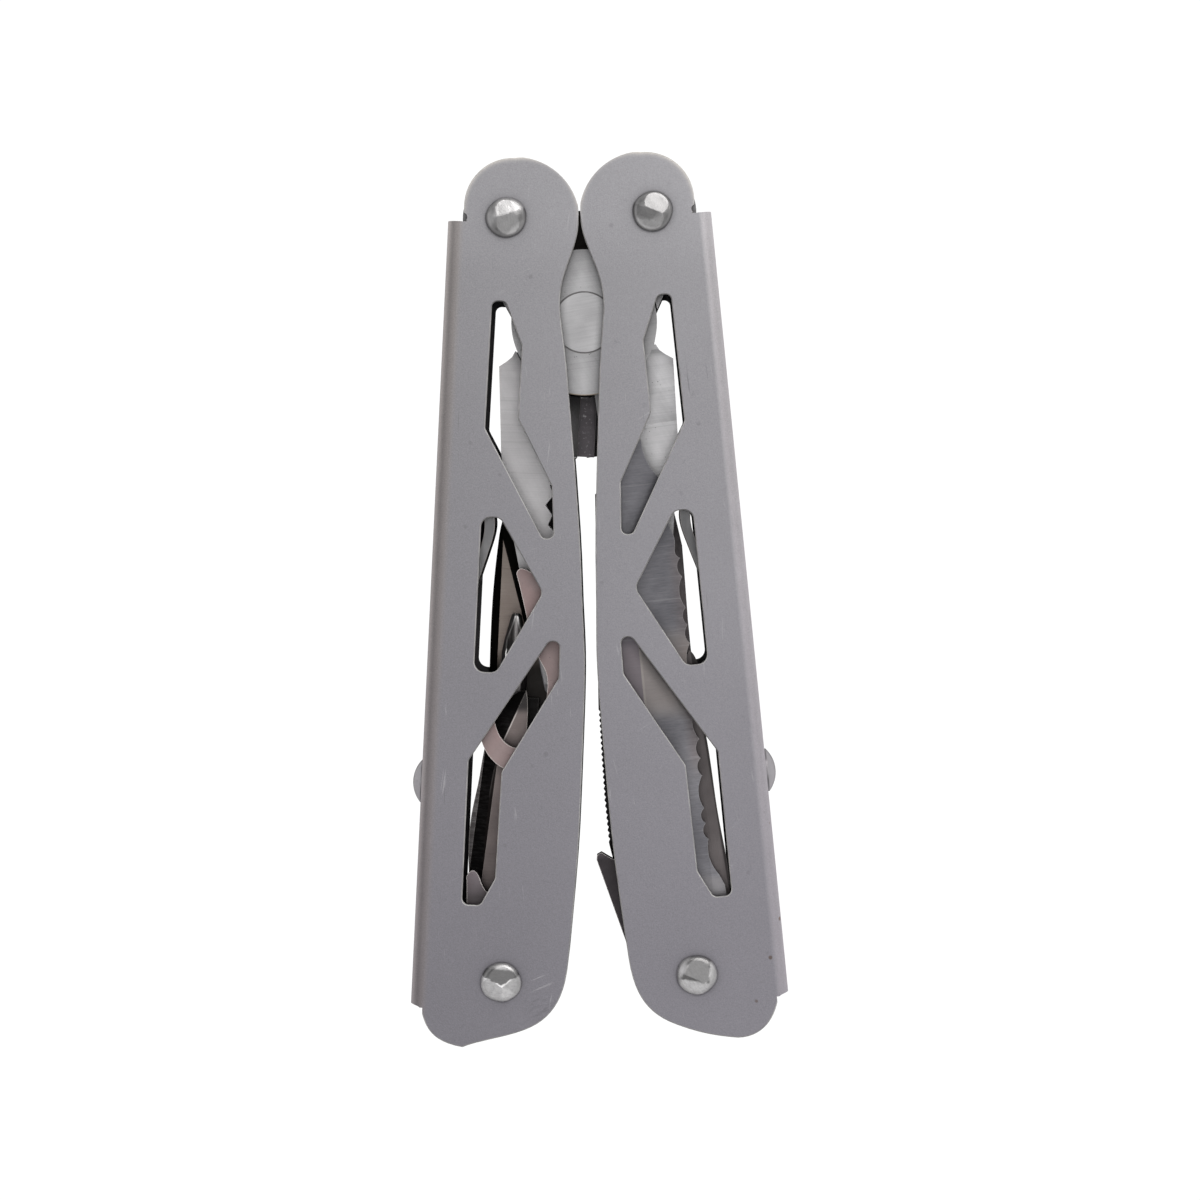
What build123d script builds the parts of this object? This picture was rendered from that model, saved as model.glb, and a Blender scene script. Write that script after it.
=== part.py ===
from build123d import *
import os
from math import sin, cos, asin, pi, radians

os.makedirs("parts", exist_ok=True)

# Folding plier multi tool, folded shut and lying flat, in millimetres.
# +Y runs along the tool towards the plier heads, +Z is up off the table (the front),
# and the origin is the centre of the footprint on the table plane.
#
# Outlines are lists of (x, y). Those of a handle and its tools start at the head rivet,
# with +x to the open side of the handle and y along it. They are drawn for the left
# handle (hand = 1) and mirrored for the right one (hand = -1).

# Place of the plier pivot
PIVOT_X = 0.2125
PIVOT_Y = 31.945
REST_H = 8.3                  # table to the middle plane of the tool

# Pressed steel handles
CHANNEL_W = 12.0              # inside width between the side plates
PLATE_T = 1.2                 # sheet thickness
PLATE_TOP = CHANNEL_W / 2 + PLATE_T
SPINE_X = -6.7                # outer face of the spine
SPINE_TOP = -0.65
SPINE_END = -91.3
BEND_R = 1.5                  # outside radius of the spine bends
BEND_INNER_R = 0.35
BEND_SECTION_W = 3.0          # width of the drawn bend section
PLATE_X = -5.0                # spine side edge of the flat plates
HEAD_R = 6.45                 # round head of the side plates
HEAD_C = (1.82, 0.53)
HEAD_FLATTENING = 0.24        # depth of the flatter arc on the head
CROWN_R = 5.63                # fuller arc on the outer side of the head
CROWN_C = (0.72, 1.25)
PLATE_EDGE = 0.12             # broken edges of the side plates
TOOL_PIVOT = (3.63, -87.87)   # tool rivet
HANDLE_LEAN = 4.25            # degrees each handle leans away from the middle line

# Rivets and washers
RIVET_HEAD_R = 2.35
RIVET_HEAD_H = 1.1
RIVET_CHAMFER = 0.35
RIVET_RIM = 0.3               # straight rim under each dome
HEAD_SHANK_R = 1.8
TOOL_SHANK_R = 1.6
PLATE_FIT = 0.01              # clearance on the radius in the side plates
WASHER_FIT = 0.02
RUN = 0.05                    # running clearance on the radius
WASHER_T = 0.36
HEAD_WASHER_R = 4.5
TOOL_WASHER_R = 3.3

# Leaf spring and its rivet
SPRING_W = 9.2
SPRING_T = 0.55
SPRING_RIVET_Y = -65.65
SPRING_HOLE_R = 1.21
SPRING_SHANK_R = 1.2
SPRING_HEAD_R = 2.5
SPRING_HEAD_H = 1.25

# Plier head
JOINT_R = 8.4                 # round joint discs of the two halves
DISC_ROOM = 0.15              # clearance around the other half's disc
JOINT_Z = 5.6                 # half thickness of the plier head
NOSE_Z = 3.3                  # half thickness where the jaws leave the joint
TIP_Z = 2.0                   # half thickness at the tip
LAP = 0.04                    # each half stops this far from the lap plane
EYE_R = 5.05                  # rivet eyes of the tangs
EYE_DIST = 14.9
EYE_ANGLE = 28.9              # degrees between a tang and its jaw line
FRONT_TURN = 6.44             # degrees each half is turned when folded
REAR_TURN = -4.46
PIN_R = 2.5
PIN_HEAD_R = 3.5
PIN_HEAD_T = 1.5
PIN_OVERLAP = 0.5             # the pin shank starts this far inside its heads
JAW_GAP = 0.06                # each jaw stops this far from the mating line
CUTTER_TOP = -8.0
GRIP_TOP = -15.5
GRIP_END = -27.0
GRIP_TEETH = 5
GRIP_ARCH = 2.6               # depth of the arched pipe grip
GRIP_TOOTH = 0.75
NOSE_TOP = -27.6              # finely toothed nose
NOSE_END = -44.2
NOSE_TEETH = 22
NOSE_TOOTH = 0.28

# Tools: five layers, centred in the channel
TOOL_T = 2.0
TOOL_GAP = 0.4
TANG_R = 4.2
# Lower face of each layer, 1 at the front
LAYER = {
    n: CHANNEL_W / 2 - TOOL_GAP / 2 - TOOL_T - (n - 1) * (TOOL_T + TOOL_GAP)
    for n in range(1, 6)
}
HEAD_WASHER_Z = (JOINT_Z + CHANNEL_W / 2) / 2
TOOL_WASHER_LEVELS = [LAYER[n] - TOOL_GAP / 2 for n in range(1, 5)]


# Frames and helpers ---------------------------------------------------------------
def turned(x, y, angle):
    """Plane on the middle plane of the tool, at (x, y) from the plier pivot."""
    turn = radians(angle)
    return Plane(
        origin=(PIVOT_X + x, PIVOT_Y + y, REST_H),
        x_dir=(cos(turn), sin(turn), 0),
        z_dir=(0, 0, 1),
    )


def handle_frame(direction, lean):
    """Frame at a head rivet, whose direction from the plier pivot is in degrees."""
    turn = radians(direction)
    return turned(EYE_DIST * cos(turn), EYE_DIST * sin(turn), lean)


def flip(points, hand):
    """Points mirrored in x when hand is -1."""
    return [(hand * x, y) for x, y in points]


def cross(frame, y):
    """Plane square to the frame at height y: its x is the frame's x, its y is up."""
    return Plane(
        origin=frame.from_local_coords((0, y, 0)),
        x_dir=frame.x_dir,
        z_dir=-frame.y_dir,
    )


def side_view(frame):
    """Plane seen from the side: its x is the frame's y, its y is up."""
    return Plane(origin=frame.origin, x_dir=frame.y_dir, z_dir=frame.x_dir)


def spring_rivet_plane(hand, frame, x):
    """Plane across the spring rivet, facing the open side of the handle."""
    return Plane(
        origin=frame.from_local_coords((hand * x, SPRING_RIVET_Y, 0)),
        x_dir=frame.y_dir,
        z_dir=hand * frame.x_dir,
    )


def bore(frame, x, y, radius):
    """Upright through hole, inside the open part."""
    with Locations(Plane(origin=frame.from_local_coords((x, y, 0)), z_dir=(0, 0, 1))):
        Cylinder(radius, 30, mode=Mode.SUBTRACT)


def dome_middle(radius, rise):
    """Point halfway along a dome's arc: distance from the axis, drop from the top."""
    dome_r = (radius**2 + rise**2) / (2 * rise)
    half = asin(radius / dome_r) / 2
    return dome_r * sin(half), dome_r * (1 - cos(half))


def save(part, name):
    part.label = name
    export_step(part, f"parts/{name}.step")


HANDLES = {
    "left": (1, handle_frame(FRONT_TURN + 90 + EYE_ANGLE, -HANDLE_LEAN)),
    "right": (-1, handle_frame(REAR_TURN + 90 - EYE_ANGLE, HANDLE_LEAN)),
}

# Handle shells --------------------------------------------------------------------
INNER_EDGE = [
    (8.27, 0.53), (7.95, -2.87), (6.95, -6.3), (6.61, -9.0), (7.22, -13.56),
    (8.16, -19.89), (9.11, -27.01), (9.77, -32.3), (10.46, -38.62), (10.97, -44.6),
    (11.4, -49.08), (11.64, -54.02), (11.76, -63.22), (11.8, -71.0), (11.61, -77.82),
    (11.28, -85.2),
]
# Two splines around the foot of each handle; the right one is rounder
FEET = {
    1: (
        [
            (11.28, -85.2), (10.95, -87.82), (10.1, -90.2), (8.5, -92.15), (6.1, -93.5),
            (-0.46, -95.63),
        ],
        [
            (-0.46, -95.63), (-2.3, -95.23), (-3.45, -94.68), (-4.25, -93.99),
            (-4.8, -93.2), (-5.3, -91.95),
        ],
    ),
    -1: (
        [
            (11.28, -85.2), (10.95, -87.82), (10.1, -90.2), (8.5, -92.15), (6.1, -93.6),
            (2.9, -94.85), (0.2, -95.5),
        ],
        [
            (0.2, -95.5), (-1.4, -95.58), (-2.7, -95.2), (-3.8, -94.45), (-4.7, -93.3),
            (-5.3, -91.95),
        ],
    ),
}
# Straight edges from the foot up the spine side and across to the inner edge
SPINE_SIDE = [
    (-5.3, -91.95), (-5.3, -91.2), (PLATE_X, -91.2), (PLATE_X, SPINE_TOP),
    (-3.9, SPINE_TOP), INNER_EDGE[0],
]
SPINE_CUT_OFF = [
    (-5.3, -91.95), (-5.3, -93), (-8, -93), (-8, -90.8), (-6.75, -90.9), (-5.95, -91.12),
]
SPINE_CUT_ARC = [(-5.95, -91.12), (-5.5, -91.42), (-5.3, -91.95)]
# Windows of the side plates: outline and corner radius
WINDOWS = [
    (
        [
            (-1.15, -9.60), (0.38, -9.60), (2.52, -14.60), (2.47, -22.93),
            (6.72, -30.52), (7.24, -36.55), (5.92, -36.55), (-1.26, -24.25),
        ],
        0.7,
    ),
    (
        [
            (-1.20, -34.43), (0.98, -34.43), (6.28, -42.82), (1.33, -52.24),
            (-1.21, -52.24),
        ],
        1.15,
    ),
    (
        [
            (7.26, -48.33), (8.51, -48.33), (8.59, -52.53), (2.53, -63.68),
            (2.38, -75.98), (0.80, -79.14), (-1.30, -79.14), (-1.33, -62.53),
        ],
        0.75,
    ),
]


def head_point(radius, angle):
    """Point on a circle about the centre of the round plate head."""
    turn = radians(angle)
    return HEAD_C[0] + radius * cos(turn), HEAD_C[1] + radius * sin(turn)


HEAD_FLAT_ARC = [
    head_point(HEAD_R, 12), head_point(HEAD_R - HEAD_FLATTENING, 52), head_point(HEAD_R, 92),
]
HEAD_FLAT_SURROUND = [
    head_point(HEAD_R, 92), head_point(9, 92), head_point(9, 52), head_point(9, 12),
    head_point(HEAD_R, 12),
]


def build_shell(hand, frame):
    """Pressed channel: two pierced side plates joined by the spine."""
    with BuildPart() as shell:
        with BuildSketch(frame.offset(CHANNEL_W / 2), frame.offset(-PLATE_TOP)):
            with BuildLine():
                for points in (INNER_EDGE, *FEET[hand]):
                    Spline(*flip(points, hand))
                Polyline(*flip(SPINE_SIDE, hand))
            make_face()
            for (x, y), radius in ((HEAD_C, HEAD_R), (CROWN_C, CROWN_R)):
                with Locations((hand * x, y)):
                    Circle(radius)
            # Slightly flatter arc where the heads roll past each other
            with BuildLine():
                ThreePointArc(*flip(HEAD_FLAT_ARC, hand))
                Polyline(*flip(HEAD_FLAT_SURROUND, hand))
            make_face(mode=Mode.SUBTRACT)
            for (x, y), shank_r in (((0, 0), HEAD_SHANK_R), (TOOL_PIVOT, TOOL_SHANK_R)):
                with Locations((hand * x, y)):
                    Circle(shank_r + PLATE_FIT, mode=Mode.SUBTRACT)
            for outline, radius in WINDOWS:
                with BuildLine():
                    FilletPolyline(*flip(outline, hand), radius=radius, close=True)
                make_face(mode=Mode.SUBTRACT)
        extrude(amount=PLATE_T)

        # Broken edges around the windows and along the outline, front and back.
        # Windows have more than 4 edges; the straight rim is told by its length.
        for level in (-1, 0):
            plate_face = shell.faces().filter_by(Axis.Z).group_by(Axis.Z)[level][0]
            rims = [
                edge
                for wire in plate_face.inner_wires()
                for edge in wire.edges()
                if len(wire.edges()) > 4
            ]
            rims += [
                edge
                for edge in plate_face.outer_wire().edges()
                if edge.geom_type == GeomType.BSPLINE or 10 < edge.length < 12
            ]
            chamfer(rims, PLATE_EDGE)

        # Spine with its two bends, drawn as a section and run down the handle
        spine_inside = SPINE_X + PLATE_T
        with BuildSketch(cross(frame, SPINE_TOP)) as bend:
            with Locations((hand * (SPINE_X + BEND_SECTION_W / 2), 0)):
                Rectangle(BEND_SECTION_W, 2 * PLATE_TOP)
            fillet(
                bend.vertices().filter_by(lambda v: abs(v.X - hand * SPINE_X) < 0.01),
                BEND_R,
            )
            with Locations((hand * (spine_inside + BEND_SECTION_W / 2), 0)):
                Rectangle(BEND_SECTION_W, CHANNEL_W, mode=Mode.SUBTRACT)
            fillet(
                bend.vertices().filter_by(lambda v: abs(v.X - hand * spine_inside) < 0.01),
                BEND_INNER_R,
            )
            # The section only reaches to where the plates run flat
            section_end = SPINE_X + BEND_SECTION_W
            with Locations((hand * section_end, 0)):
                Rectangle(2 * (section_end - PLATE_X), 20, mode=Mode.SUBTRACT)
        extrude(amount=SPINE_TOP - SPINE_END)

        # Relief notch above the bends, slanted cut-off below them
        with BuildSketch(frame.offset(-CHANNEL_W)):
            with Locations((hand * -4.95, -0.18)):
                Circle(0.5)
            with BuildLine():
                Polyline(*flip(SPINE_CUT_OFF, hand))
                ThreePointArc(*flip(SPINE_CUT_ARC, hand))
            make_face()
        extrude(amount=2 * CHANNEL_W, mode=Mode.SUBTRACT)

        # Hole of the spring rivet, through the spine
        with BuildSketch(spring_rivet_plane(hand, frame, SPINE_X - 1)):
            Circle(SPRING_HOLE_R)
        extrude(amount=3, mode=Mode.SUBTRACT)
    return shell.part


# Rivets, washers and springs ------------------------------------------------------
def build_rivet(frame, x, y, shank_r):
    """Peened rivet: domed head in front, flat head behind, one turned profile."""
    origin = frame.from_local_coords((x, y, 0))
    end = PLATE_TOP + RIVET_HEAD_H
    rim = PLATE_TOP + RIVET_RIM
    arc_r, arc_drop = dome_middle(RIVET_HEAD_R, RIVET_HEAD_H - RIVET_RIM)
    with BuildPart() as rivet:
        with BuildSketch(Plane(origin=origin, x_dir=(1, 0, 0), z_dir=(0, -1, 0))):
            with BuildLine():
                Polyline(
                    (0, -end),
                    (RIVET_HEAD_R - RIVET_CHAMFER, -end),
                    (RIVET_HEAD_R, -end + RIVET_CHAMFER),
                    (RIVET_HEAD_R, -PLATE_TOP),
                    (shank_r, -PLATE_TOP),
                    (shank_r, PLATE_TOP),
                    (RIVET_HEAD_R, PLATE_TOP),
                    (RIVET_HEAD_R, rim),
                )
                ThreePointArc((RIVET_HEAD_R, rim), (arc_r, end - arc_drop), (0, end))
                Line((0, end), (0, -end))
            make_face()
        revolve(axis=Axis(origin, (0, 0, 1)))
    return rivet.part


def build_washers(frame, x, y, shank_r, rim_r, levels):
    """Thin shim washers on one rivet, centred on the given levels."""
    with BuildPart() as washers:
        with BuildSketch(*[frame.offset(z - WASHER_T / 2) for z in levels]):
            with Locations((x, y)):
                Circle(rim_r)
                Circle(shank_r + WASHER_FIT, mode=Mode.SUBTRACT)
        extrude(amount=WASHER_T)
    return washers.part


# Middle line of the spring: free tip, rivet flat, tool leg
SPRING_TIP = [(-1.35, -32.6), (0.0, -34.7), (-0.45, -38.0), (-1.9, -43.0), (-3.7, -51.0)]
SPRING_FLAT = [(-5.08, -60.0), (-5.08, -69.5)]
SPRING_TOOL_LEG = [SPRING_FLAT[1], (-3.6, -78.0), (-0.95, -86.5)]
# Thick tip: the spine side spline, then the rest of the outline
TIP_OUTER_SIDE = [
    (-1.9, -32.9), (-0.95, -34.7), (-1.2, -38.0), (-2.65, -43.0), (-3.35, -47.5),
]
TIP_INNER_SIDE = [
    (-3.35, -47.5), (-2.8, -47.5), (-1.9, -43.0), (-0.45, -38.0), (-0.1, -34.7),
    (-1.3, -32.7), (-1.9, -32.9),
]


def build_spring(hand, frame):
    """Leaf spring along the spine: free tip above, rivet flat, tool leg below."""
    back = frame.offset(-SPRING_W / 2)
    with BuildPart() as spring:
        with BuildSketch(back):
            with BuildLine():
                Spline(*flip(SPRING_TIP, hand))
                Spline(
                    *flip([SPRING_TIP[-1], SPRING_FLAT[0]], hand),
                    tangents=[(hand * -1.7, -8), (0, -1)],
                )
                Line(*flip(SPRING_FLAT, hand))
                Spline(
                    *flip(SPRING_TOOL_LEG, hand),
                    tangents=[(0, -1), (hand * 3, -8.5)],
                )
            trace(line_width=SPRING_T)
        extrude(amount=SPRING_W)
        # The tip is thicker, on its outer side
        with BuildSketch(back):
            with BuildLine():
                Spline(*flip(TIP_OUTER_SIDE, hand))
                Polyline(*flip(TIP_INNER_SIDE, hand))
            make_face()
        extrude(amount=SPRING_W)
        with BuildSketch(spring_rivet_plane(hand, frame, SPINE_X + 0.3)):
            Circle(SPRING_HOLE_R)
        extrude(amount=4, mode=Mode.SUBTRACT)
    return spring.part


# Shank and inner head of the spring rivet: (depth from the spine's outer face, radius)
SPRING_RIVET_PROFILE = [
    (-RIVET_RIM, SPRING_HEAD_R), (0, SPRING_HEAD_R), (0, SPRING_SHANK_R),
    (1.91, SPRING_SHANK_R), (1.91, 1.75), (2.25, 1.45), (2.35, 0), (-SPRING_HEAD_H, 0),
]


def build_spring_rivet(hand, frame):
    """Button headed rivet through the spine and the leaf spring."""
    origin = frame.from_local_coords((hand * SPINE_X, SPRING_RIVET_Y, 0))
    arc_r, arc_drop = dome_middle(SPRING_HEAD_R, SPRING_HEAD_H - RIVET_RIM)
    with BuildPart() as rivet:
        with BuildSketch(Plane(origin=origin, x_dir=hand * frame.x_dir, z_dir=(0, 0, 1))):
            with BuildLine():
                ThreePointArc(
                    (-SPRING_HEAD_H, 0),
                    (-SPRING_HEAD_H + arc_drop, arc_r * hand),
                    (-RIVET_RIM, SPRING_HEAD_R * hand),
                )
                Polyline(*[(depth, r * hand) for depth, r in SPRING_RIVET_PROFILE])
            make_face()
        revolve(axis=Axis(origin, frame.x_dir))
    return rivet.part


for side, (hand, frame) in HANDLES.items():
    pivot = (hand * TOOL_PIVOT[0], TOOL_PIVOT[1])
    save(build_shell(hand, frame), side + "_handle_shell")
    save(build_rivet(frame, 0, 0, HEAD_SHANK_R), side + "_handle_rivet")
    save(build_rivet(frame, *pivot, TOOL_SHANK_R), side + "_tool_rivet")
    save(
        build_washers(
            frame, 0, 0, HEAD_SHANK_R, HEAD_WASHER_R, (HEAD_WASHER_Z, -HEAD_WASHER_Z)
        ),
        side + "_pivot_washers",
    )
    save(
        build_washers(frame, *pivot, TOOL_SHANK_R, TOOL_WASHER_R, TOOL_WASHER_LEVELS),
        side + "_tool_washers",
    )
    save(build_spring(hand, frame), side + "_back_spring")
    save(build_spring_rivet(hand, frame), side + "_spring_rivet")


# Plier head -----------------------------------------------------------------------
# Each half has a jaw on one side of the mating line and a tang on the other, and
# keeps one half of the lap joint. Outlines start at the plier pivot and are drawn for
# the front half (hand = 1), whose jaw is on +x.
def grip_point(step, x_offset):
    """Point on the arch of the pipe grip; there are two steps to a tooth."""
    along = step / (2 * GRIP_TEETH)
    return (
        JAW_GAP + x_offset + GRIP_ARCH * sin(pi * along) ** 0.8,
        GRIP_TOP + (GRIP_END - GRIP_TOP) * along,
    )


def bite_line():
    """Mating side of a jaw: cutter edge, toothed pipe grip, finely toothed nose."""
    line = [(JAW_GAP, GRIP_TOP)]
    for step in range(1, 2 * GRIP_TEETH):
        line.append(grip_point(step, GRIP_TOOTH if step % 2 else 0))
    line.append((JAW_GAP, GRIP_END))
    pitch = (NOSE_TOP - NOSE_END) / NOSE_TEETH
    for i in range(NOSE_TEETH):
        y = NOSE_TOP - i * pitch
        line += [(JAW_GAP, y), (JAW_GAP + NOSE_TOOTH, y - pitch / 2)]
    line.append((JAW_GAP, NOSE_END))
    return line


def grip_web():
    """Outline of the web behind the grip teeth, just clear of their crests."""
    clear = 0.02
    crests = [grip_point(step, clear) for step in range(2, 2 * GRIP_TEETH, 2)]
    return [
        (JAW_GAP + clear, GRIP_TOP), *crests, (JAW_GAP + clear, GRIP_END),
        (3.7, GRIP_END), (3.7, GRIP_TOP),
    ]


JAW_OUTER = [
    (0.35, -45.0), (1.5, -45.1), (2.25, -42.7), (3.1, -39.5), (6.1, -28.6),
    (6.85, -25.6), (8.85, -15.5), (9.6, -5.5), (8.8, -4.93), (8.15, -4.34),
    (7.82, -3.64), (0, -3.64), (JAW_GAP, -8.6),
]
# Side view of the front jaw as (y, z): the face away from the lap drops from the
# joint, the other one thins gently
JAW_SIDE = [
    (0, JOINT_Z), (-4.2, JOINT_Z), (-12.6, NOSE_Z + 0.2), (-27.0, NOSE_Z - 0.2),
    (-42.0, TIP_Z + 0.25), (-44.4, TIP_Z - 0.2), (-45.3, TIP_Z - 1.0),
    (-45.3, 1.0 - TIP_Z), (-44.4, 0.2 - TIP_Z), (-42.0, -TIP_Z - 0.25),
    (-27.0, 0.2 - NOSE_Z), (0, -NOSE_Z),
]
# Cutter bevels as (x, z), front and back
CUTTER_BEVELS = [
    [(-0.5, 1.0), (2.4, NOSE_Z + 0.3), (-0.5, NOSE_Z + 0.3)],
    [(-0.5, -3.0), (1.2, -NOSE_Z - 0.3), (-0.5, -NOSE_Z - 0.3)],
]
EYE = (-EYE_DIST * sin(radians(EYE_ANGLE)), EYE_DIST * cos(radians(EYE_ANGLE)))
TANG = [(-0.4, 0), (-0.4, 8.9), (-2.3, 11.9), EYE, (-11.62, 10.6), (-8.2, 1.6)]
# Anvil webs of the cutter, one above the other behind the lap plane
ANVIL_WEB = [(1.0, -7.0), (-1.9, -7.0), (-1.9, GRIP_TOP + 0.1), (1.0, GRIP_TOP + 0.1)]
ANVIL_POCKET = [
    (-0.3, CUTTER_TOP), (2.15, CUTTER_TOP), (2.15, GRIP_TOP), (-0.3, GRIP_TOP),
]
ANVIL_WEB_Z = {1: (-3.3, -1.72), -1: (-1.62, -LAP)}        # bottom, top
ANVIL_POCKET_Z = {1: (-1.67, LAP), -1: (-3.4, -1.67)}
STOP_WEB = [(-1.2, 8.6), (2.2, 8.6), (2.2, 12.4), (1.4, 13.2), (-2.3, 13.2), (-2.3, 11.5)]
STOP_POCKET = [(-2.4, 8.0), (2.75, 8.0), (2.75, 13.9), (-2.4, 13.9)]


def build_half(hand, frame):
    """One half of the plier head; hand = 1 is the front one, -1 the rear one."""
    is_front = hand == 1
    back = frame.offset(-JOINT_Z)
    eye_x, eye_y = hand * EYE[0], EYE[1]
    with BuildPart() as half:
        # Jaw in plan, then cut to its side view
        with BuildSketch(back):
            with BuildLine():
                Polyline(*flip(bite_line() + JAW_OUTER, hand), close=True)
            make_face()
        extrude(amount=2 * JOINT_Z)
        with BuildSketch(side_view(frame)):
            Polygon(*[(y, hand * z) for y, z in JAW_SIDE], align=None)
        extrude(amount=30, both=True, mode=Mode.INTERSECT)

        # Cutter bevels beside the mating line
        with BuildSketch(cross(frame, CUTTER_TOP)):
            for bevel in CUTTER_BEVELS:
                Polygon(*flip(bevel, hand), align=None)
        extrude(amount=CUTTER_TOP - GRIP_TOP, mode=Mode.SUBTRACT)

        # The grip teeth are blind: a web closes their gaps on the back half of the jaw
        with BuildSketch(frame.offset(-NOSE_Z + 0.6)):
            Polygon(*flip(grip_web(), hand), align=None)
        extrude(amount=1.3)

        # Joint disc and tang
        with BuildSketch(back):
            Circle(JOINT_R)
        extrude(amount=2 * JOINT_Z)
        with BuildSketch(back):
            Polygon(*flip(TANG, hand), align=None)
            with Locations((eye_x, eye_y)):
                Circle(EYE_R)
        extrude(amount=2 * JOINT_Z)

        # Room for the other half's disc
        with BuildSketch(frame.offset(-JOINT_Z - 0.1 if is_front else -LAP)):
            Circle(JOINT_R + DISC_ROOM)
        extrude(amount=JOINT_Z + 0.1 + LAP, mode=Mode.SUBTRACT)

        # Pocket for the other half's anvil web, then this half's own web
        bottom, top = ANVIL_POCKET_Z[hand]
        with BuildSketch(frame.offset(bottom)):
            Polygon(*flip(ANVIL_POCKET, hand), align=None)
        extrude(amount=top - bottom, mode=Mode.SUBTRACT)
        bottom, top = ANVIL_WEB_Z[hand]
        with BuildSketch(frame.offset(bottom)):
            Polygon(*flip(ANVIL_WEB, hand), align=None)
            Circle(JOINT_R + DISC_ROOM, mode=Mode.SUBTRACT)
        extrude(amount=top - bottom)

        # Stop web between the tangs: the front tang carries it, the rear one its pocket
        if is_front:
            with BuildSketch(frame.offset(-1.6)):
                Polygon(*STOP_WEB, align=None)
                Circle(JOINT_R + DISC_ROOM, mode=Mode.SUBTRACT)
            extrude(amount=1.5)
        else:
            with BuildSketch(frame.offset(-1.75)):
                Polygon(*STOP_POCKET, align=None)
            extrude(amount=1.75 + LAP, mode=Mode.SUBTRACT)

        # Rivet eye, pivot bore and seat of the pin head; the rear half runs on the pin
        bore(frame, eye_x, eye_y, HEAD_SHANK_R + RUN)
        bore(frame, 0, 0, PIN_R + (0.01 if is_front else RUN))
        seat = JOINT_Z - PIN_HEAD_T - (0.0 if is_front else 0.03)
        with BuildSketch(frame.offset(seat if is_front else -JOINT_Z - 0.1)):
            Circle(PIN_HEAD_R + 0.035)
        extrude(amount=JOINT_Z + 0.1 - seat, mode=Mode.SUBTRACT)
    return half.part


def build_pivot_pin():
    """Pivot pin of the pliers, both heads flush with the joint faces."""
    middle = turned(0, 0, 0)
    with BuildPart() as pin:
        for z in (-JOINT_Z, JOINT_Z - PIN_HEAD_T):
            with BuildSketch(middle.offset(z)):
                Circle(PIN_HEAD_R)
            extrude(amount=PIN_HEAD_T)
        with BuildSketch(middle.offset(-JOINT_Z + PIN_OVERLAP)):
            Circle(PIN_R)
        extrude(amount=2 * (JOINT_Z - PIN_OVERLAP))
    return pin.part


save(build_half(1, turned(0, 0, FRONT_TURN)), "plier_jaw_front")
save(build_half(-1, turned(0, 0, REAR_TURN)), "plier_jaw_rear")
save(build_pivot_pin(), "plier_pivot_pin")

# Tools ----------------------------------------------------------------------------
# Most tools end on a line through the tool rivet, inside their round tang
TANG_OUTER = (-0.53, TOOL_PIVOT[1])
TANG_INNER = (7.59, TOOL_PIVOT[1])
TANG_LINE = [TANG_OUTER, TOOL_PIVOT, TANG_INNER]
TANG_LINE_BACK = TANG_LINE[::-1]


def ground(frame, hand, face_z, facing, depth, line_x, edge_x, top_y, end_y):
    """Ground bevel: a wedge taken off one face, from line_x to the cutting edge.
    facing is 1 for the front face, -1 for the back. Runs inside the open part."""
    outside = face_z + facing * 0.3
    ground_z = face_z - facing * depth
    with BuildSketch(cross(frame, top_y)) as wedge:
        Polygon(
            *flip(
                [
                    (line_x, outside), (line_x, face_z), (edge_x, ground_z),
                    (edge_x - 3, ground_z), (edge_x - 3, outside),
                ],
                hand,
            ),
            align=None,
        )
    extrude(wedge.sketch, amount=top_y - end_y, mode=Mode.SUBTRACT)


def facet(frame, hand, face_z, start, end, side, width, depth, reach):
    """Ground facet beside a line on the front face, falling by depth over width.
    side is 1 for the right of the line from start to end, seen from the front,
    and -1 for the left. Runs inside the open part."""
    start, end = [
        frame.from_local_coords((x, y, 0)) for x, y in flip([start, end], hand)
    ]
    along = (end - start).normalized()
    across = along.cross(Vector(0, 0, 1)) * side
    with BuildSketch(
        Plane(origin=(start + end) * 0.5, x_dir=across, z_dir=across.cross(Vector(0, 0, 1)))
    ) as wedge:
        Polygon(
            (0, face_z + 0.3), (0, face_z), (width, face_z - depth),
            (width + reach, face_z - depth), (width + reach, face_z + 0.3),
            align=None,
        )
    extrude(
        wedge.sketch, amount=(end - start).length / 2, both=True, mode=Mode.SUBTRACT
    )


def tang_disc(hand):
    """Round tang of a tool, inside the open sketch."""
    with Locations((hand * TOOL_PIVOT[0], TOOL_PIVOT[1])):
        Circle(TANG_R)


def tang_hole(frame, hand):
    """Bore of a tool tang, inside the open part."""
    bore(frame, hand * TOOL_PIVOT[0], TOOL_PIVOT[1], TOOL_SHANK_R + RUN)


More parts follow.
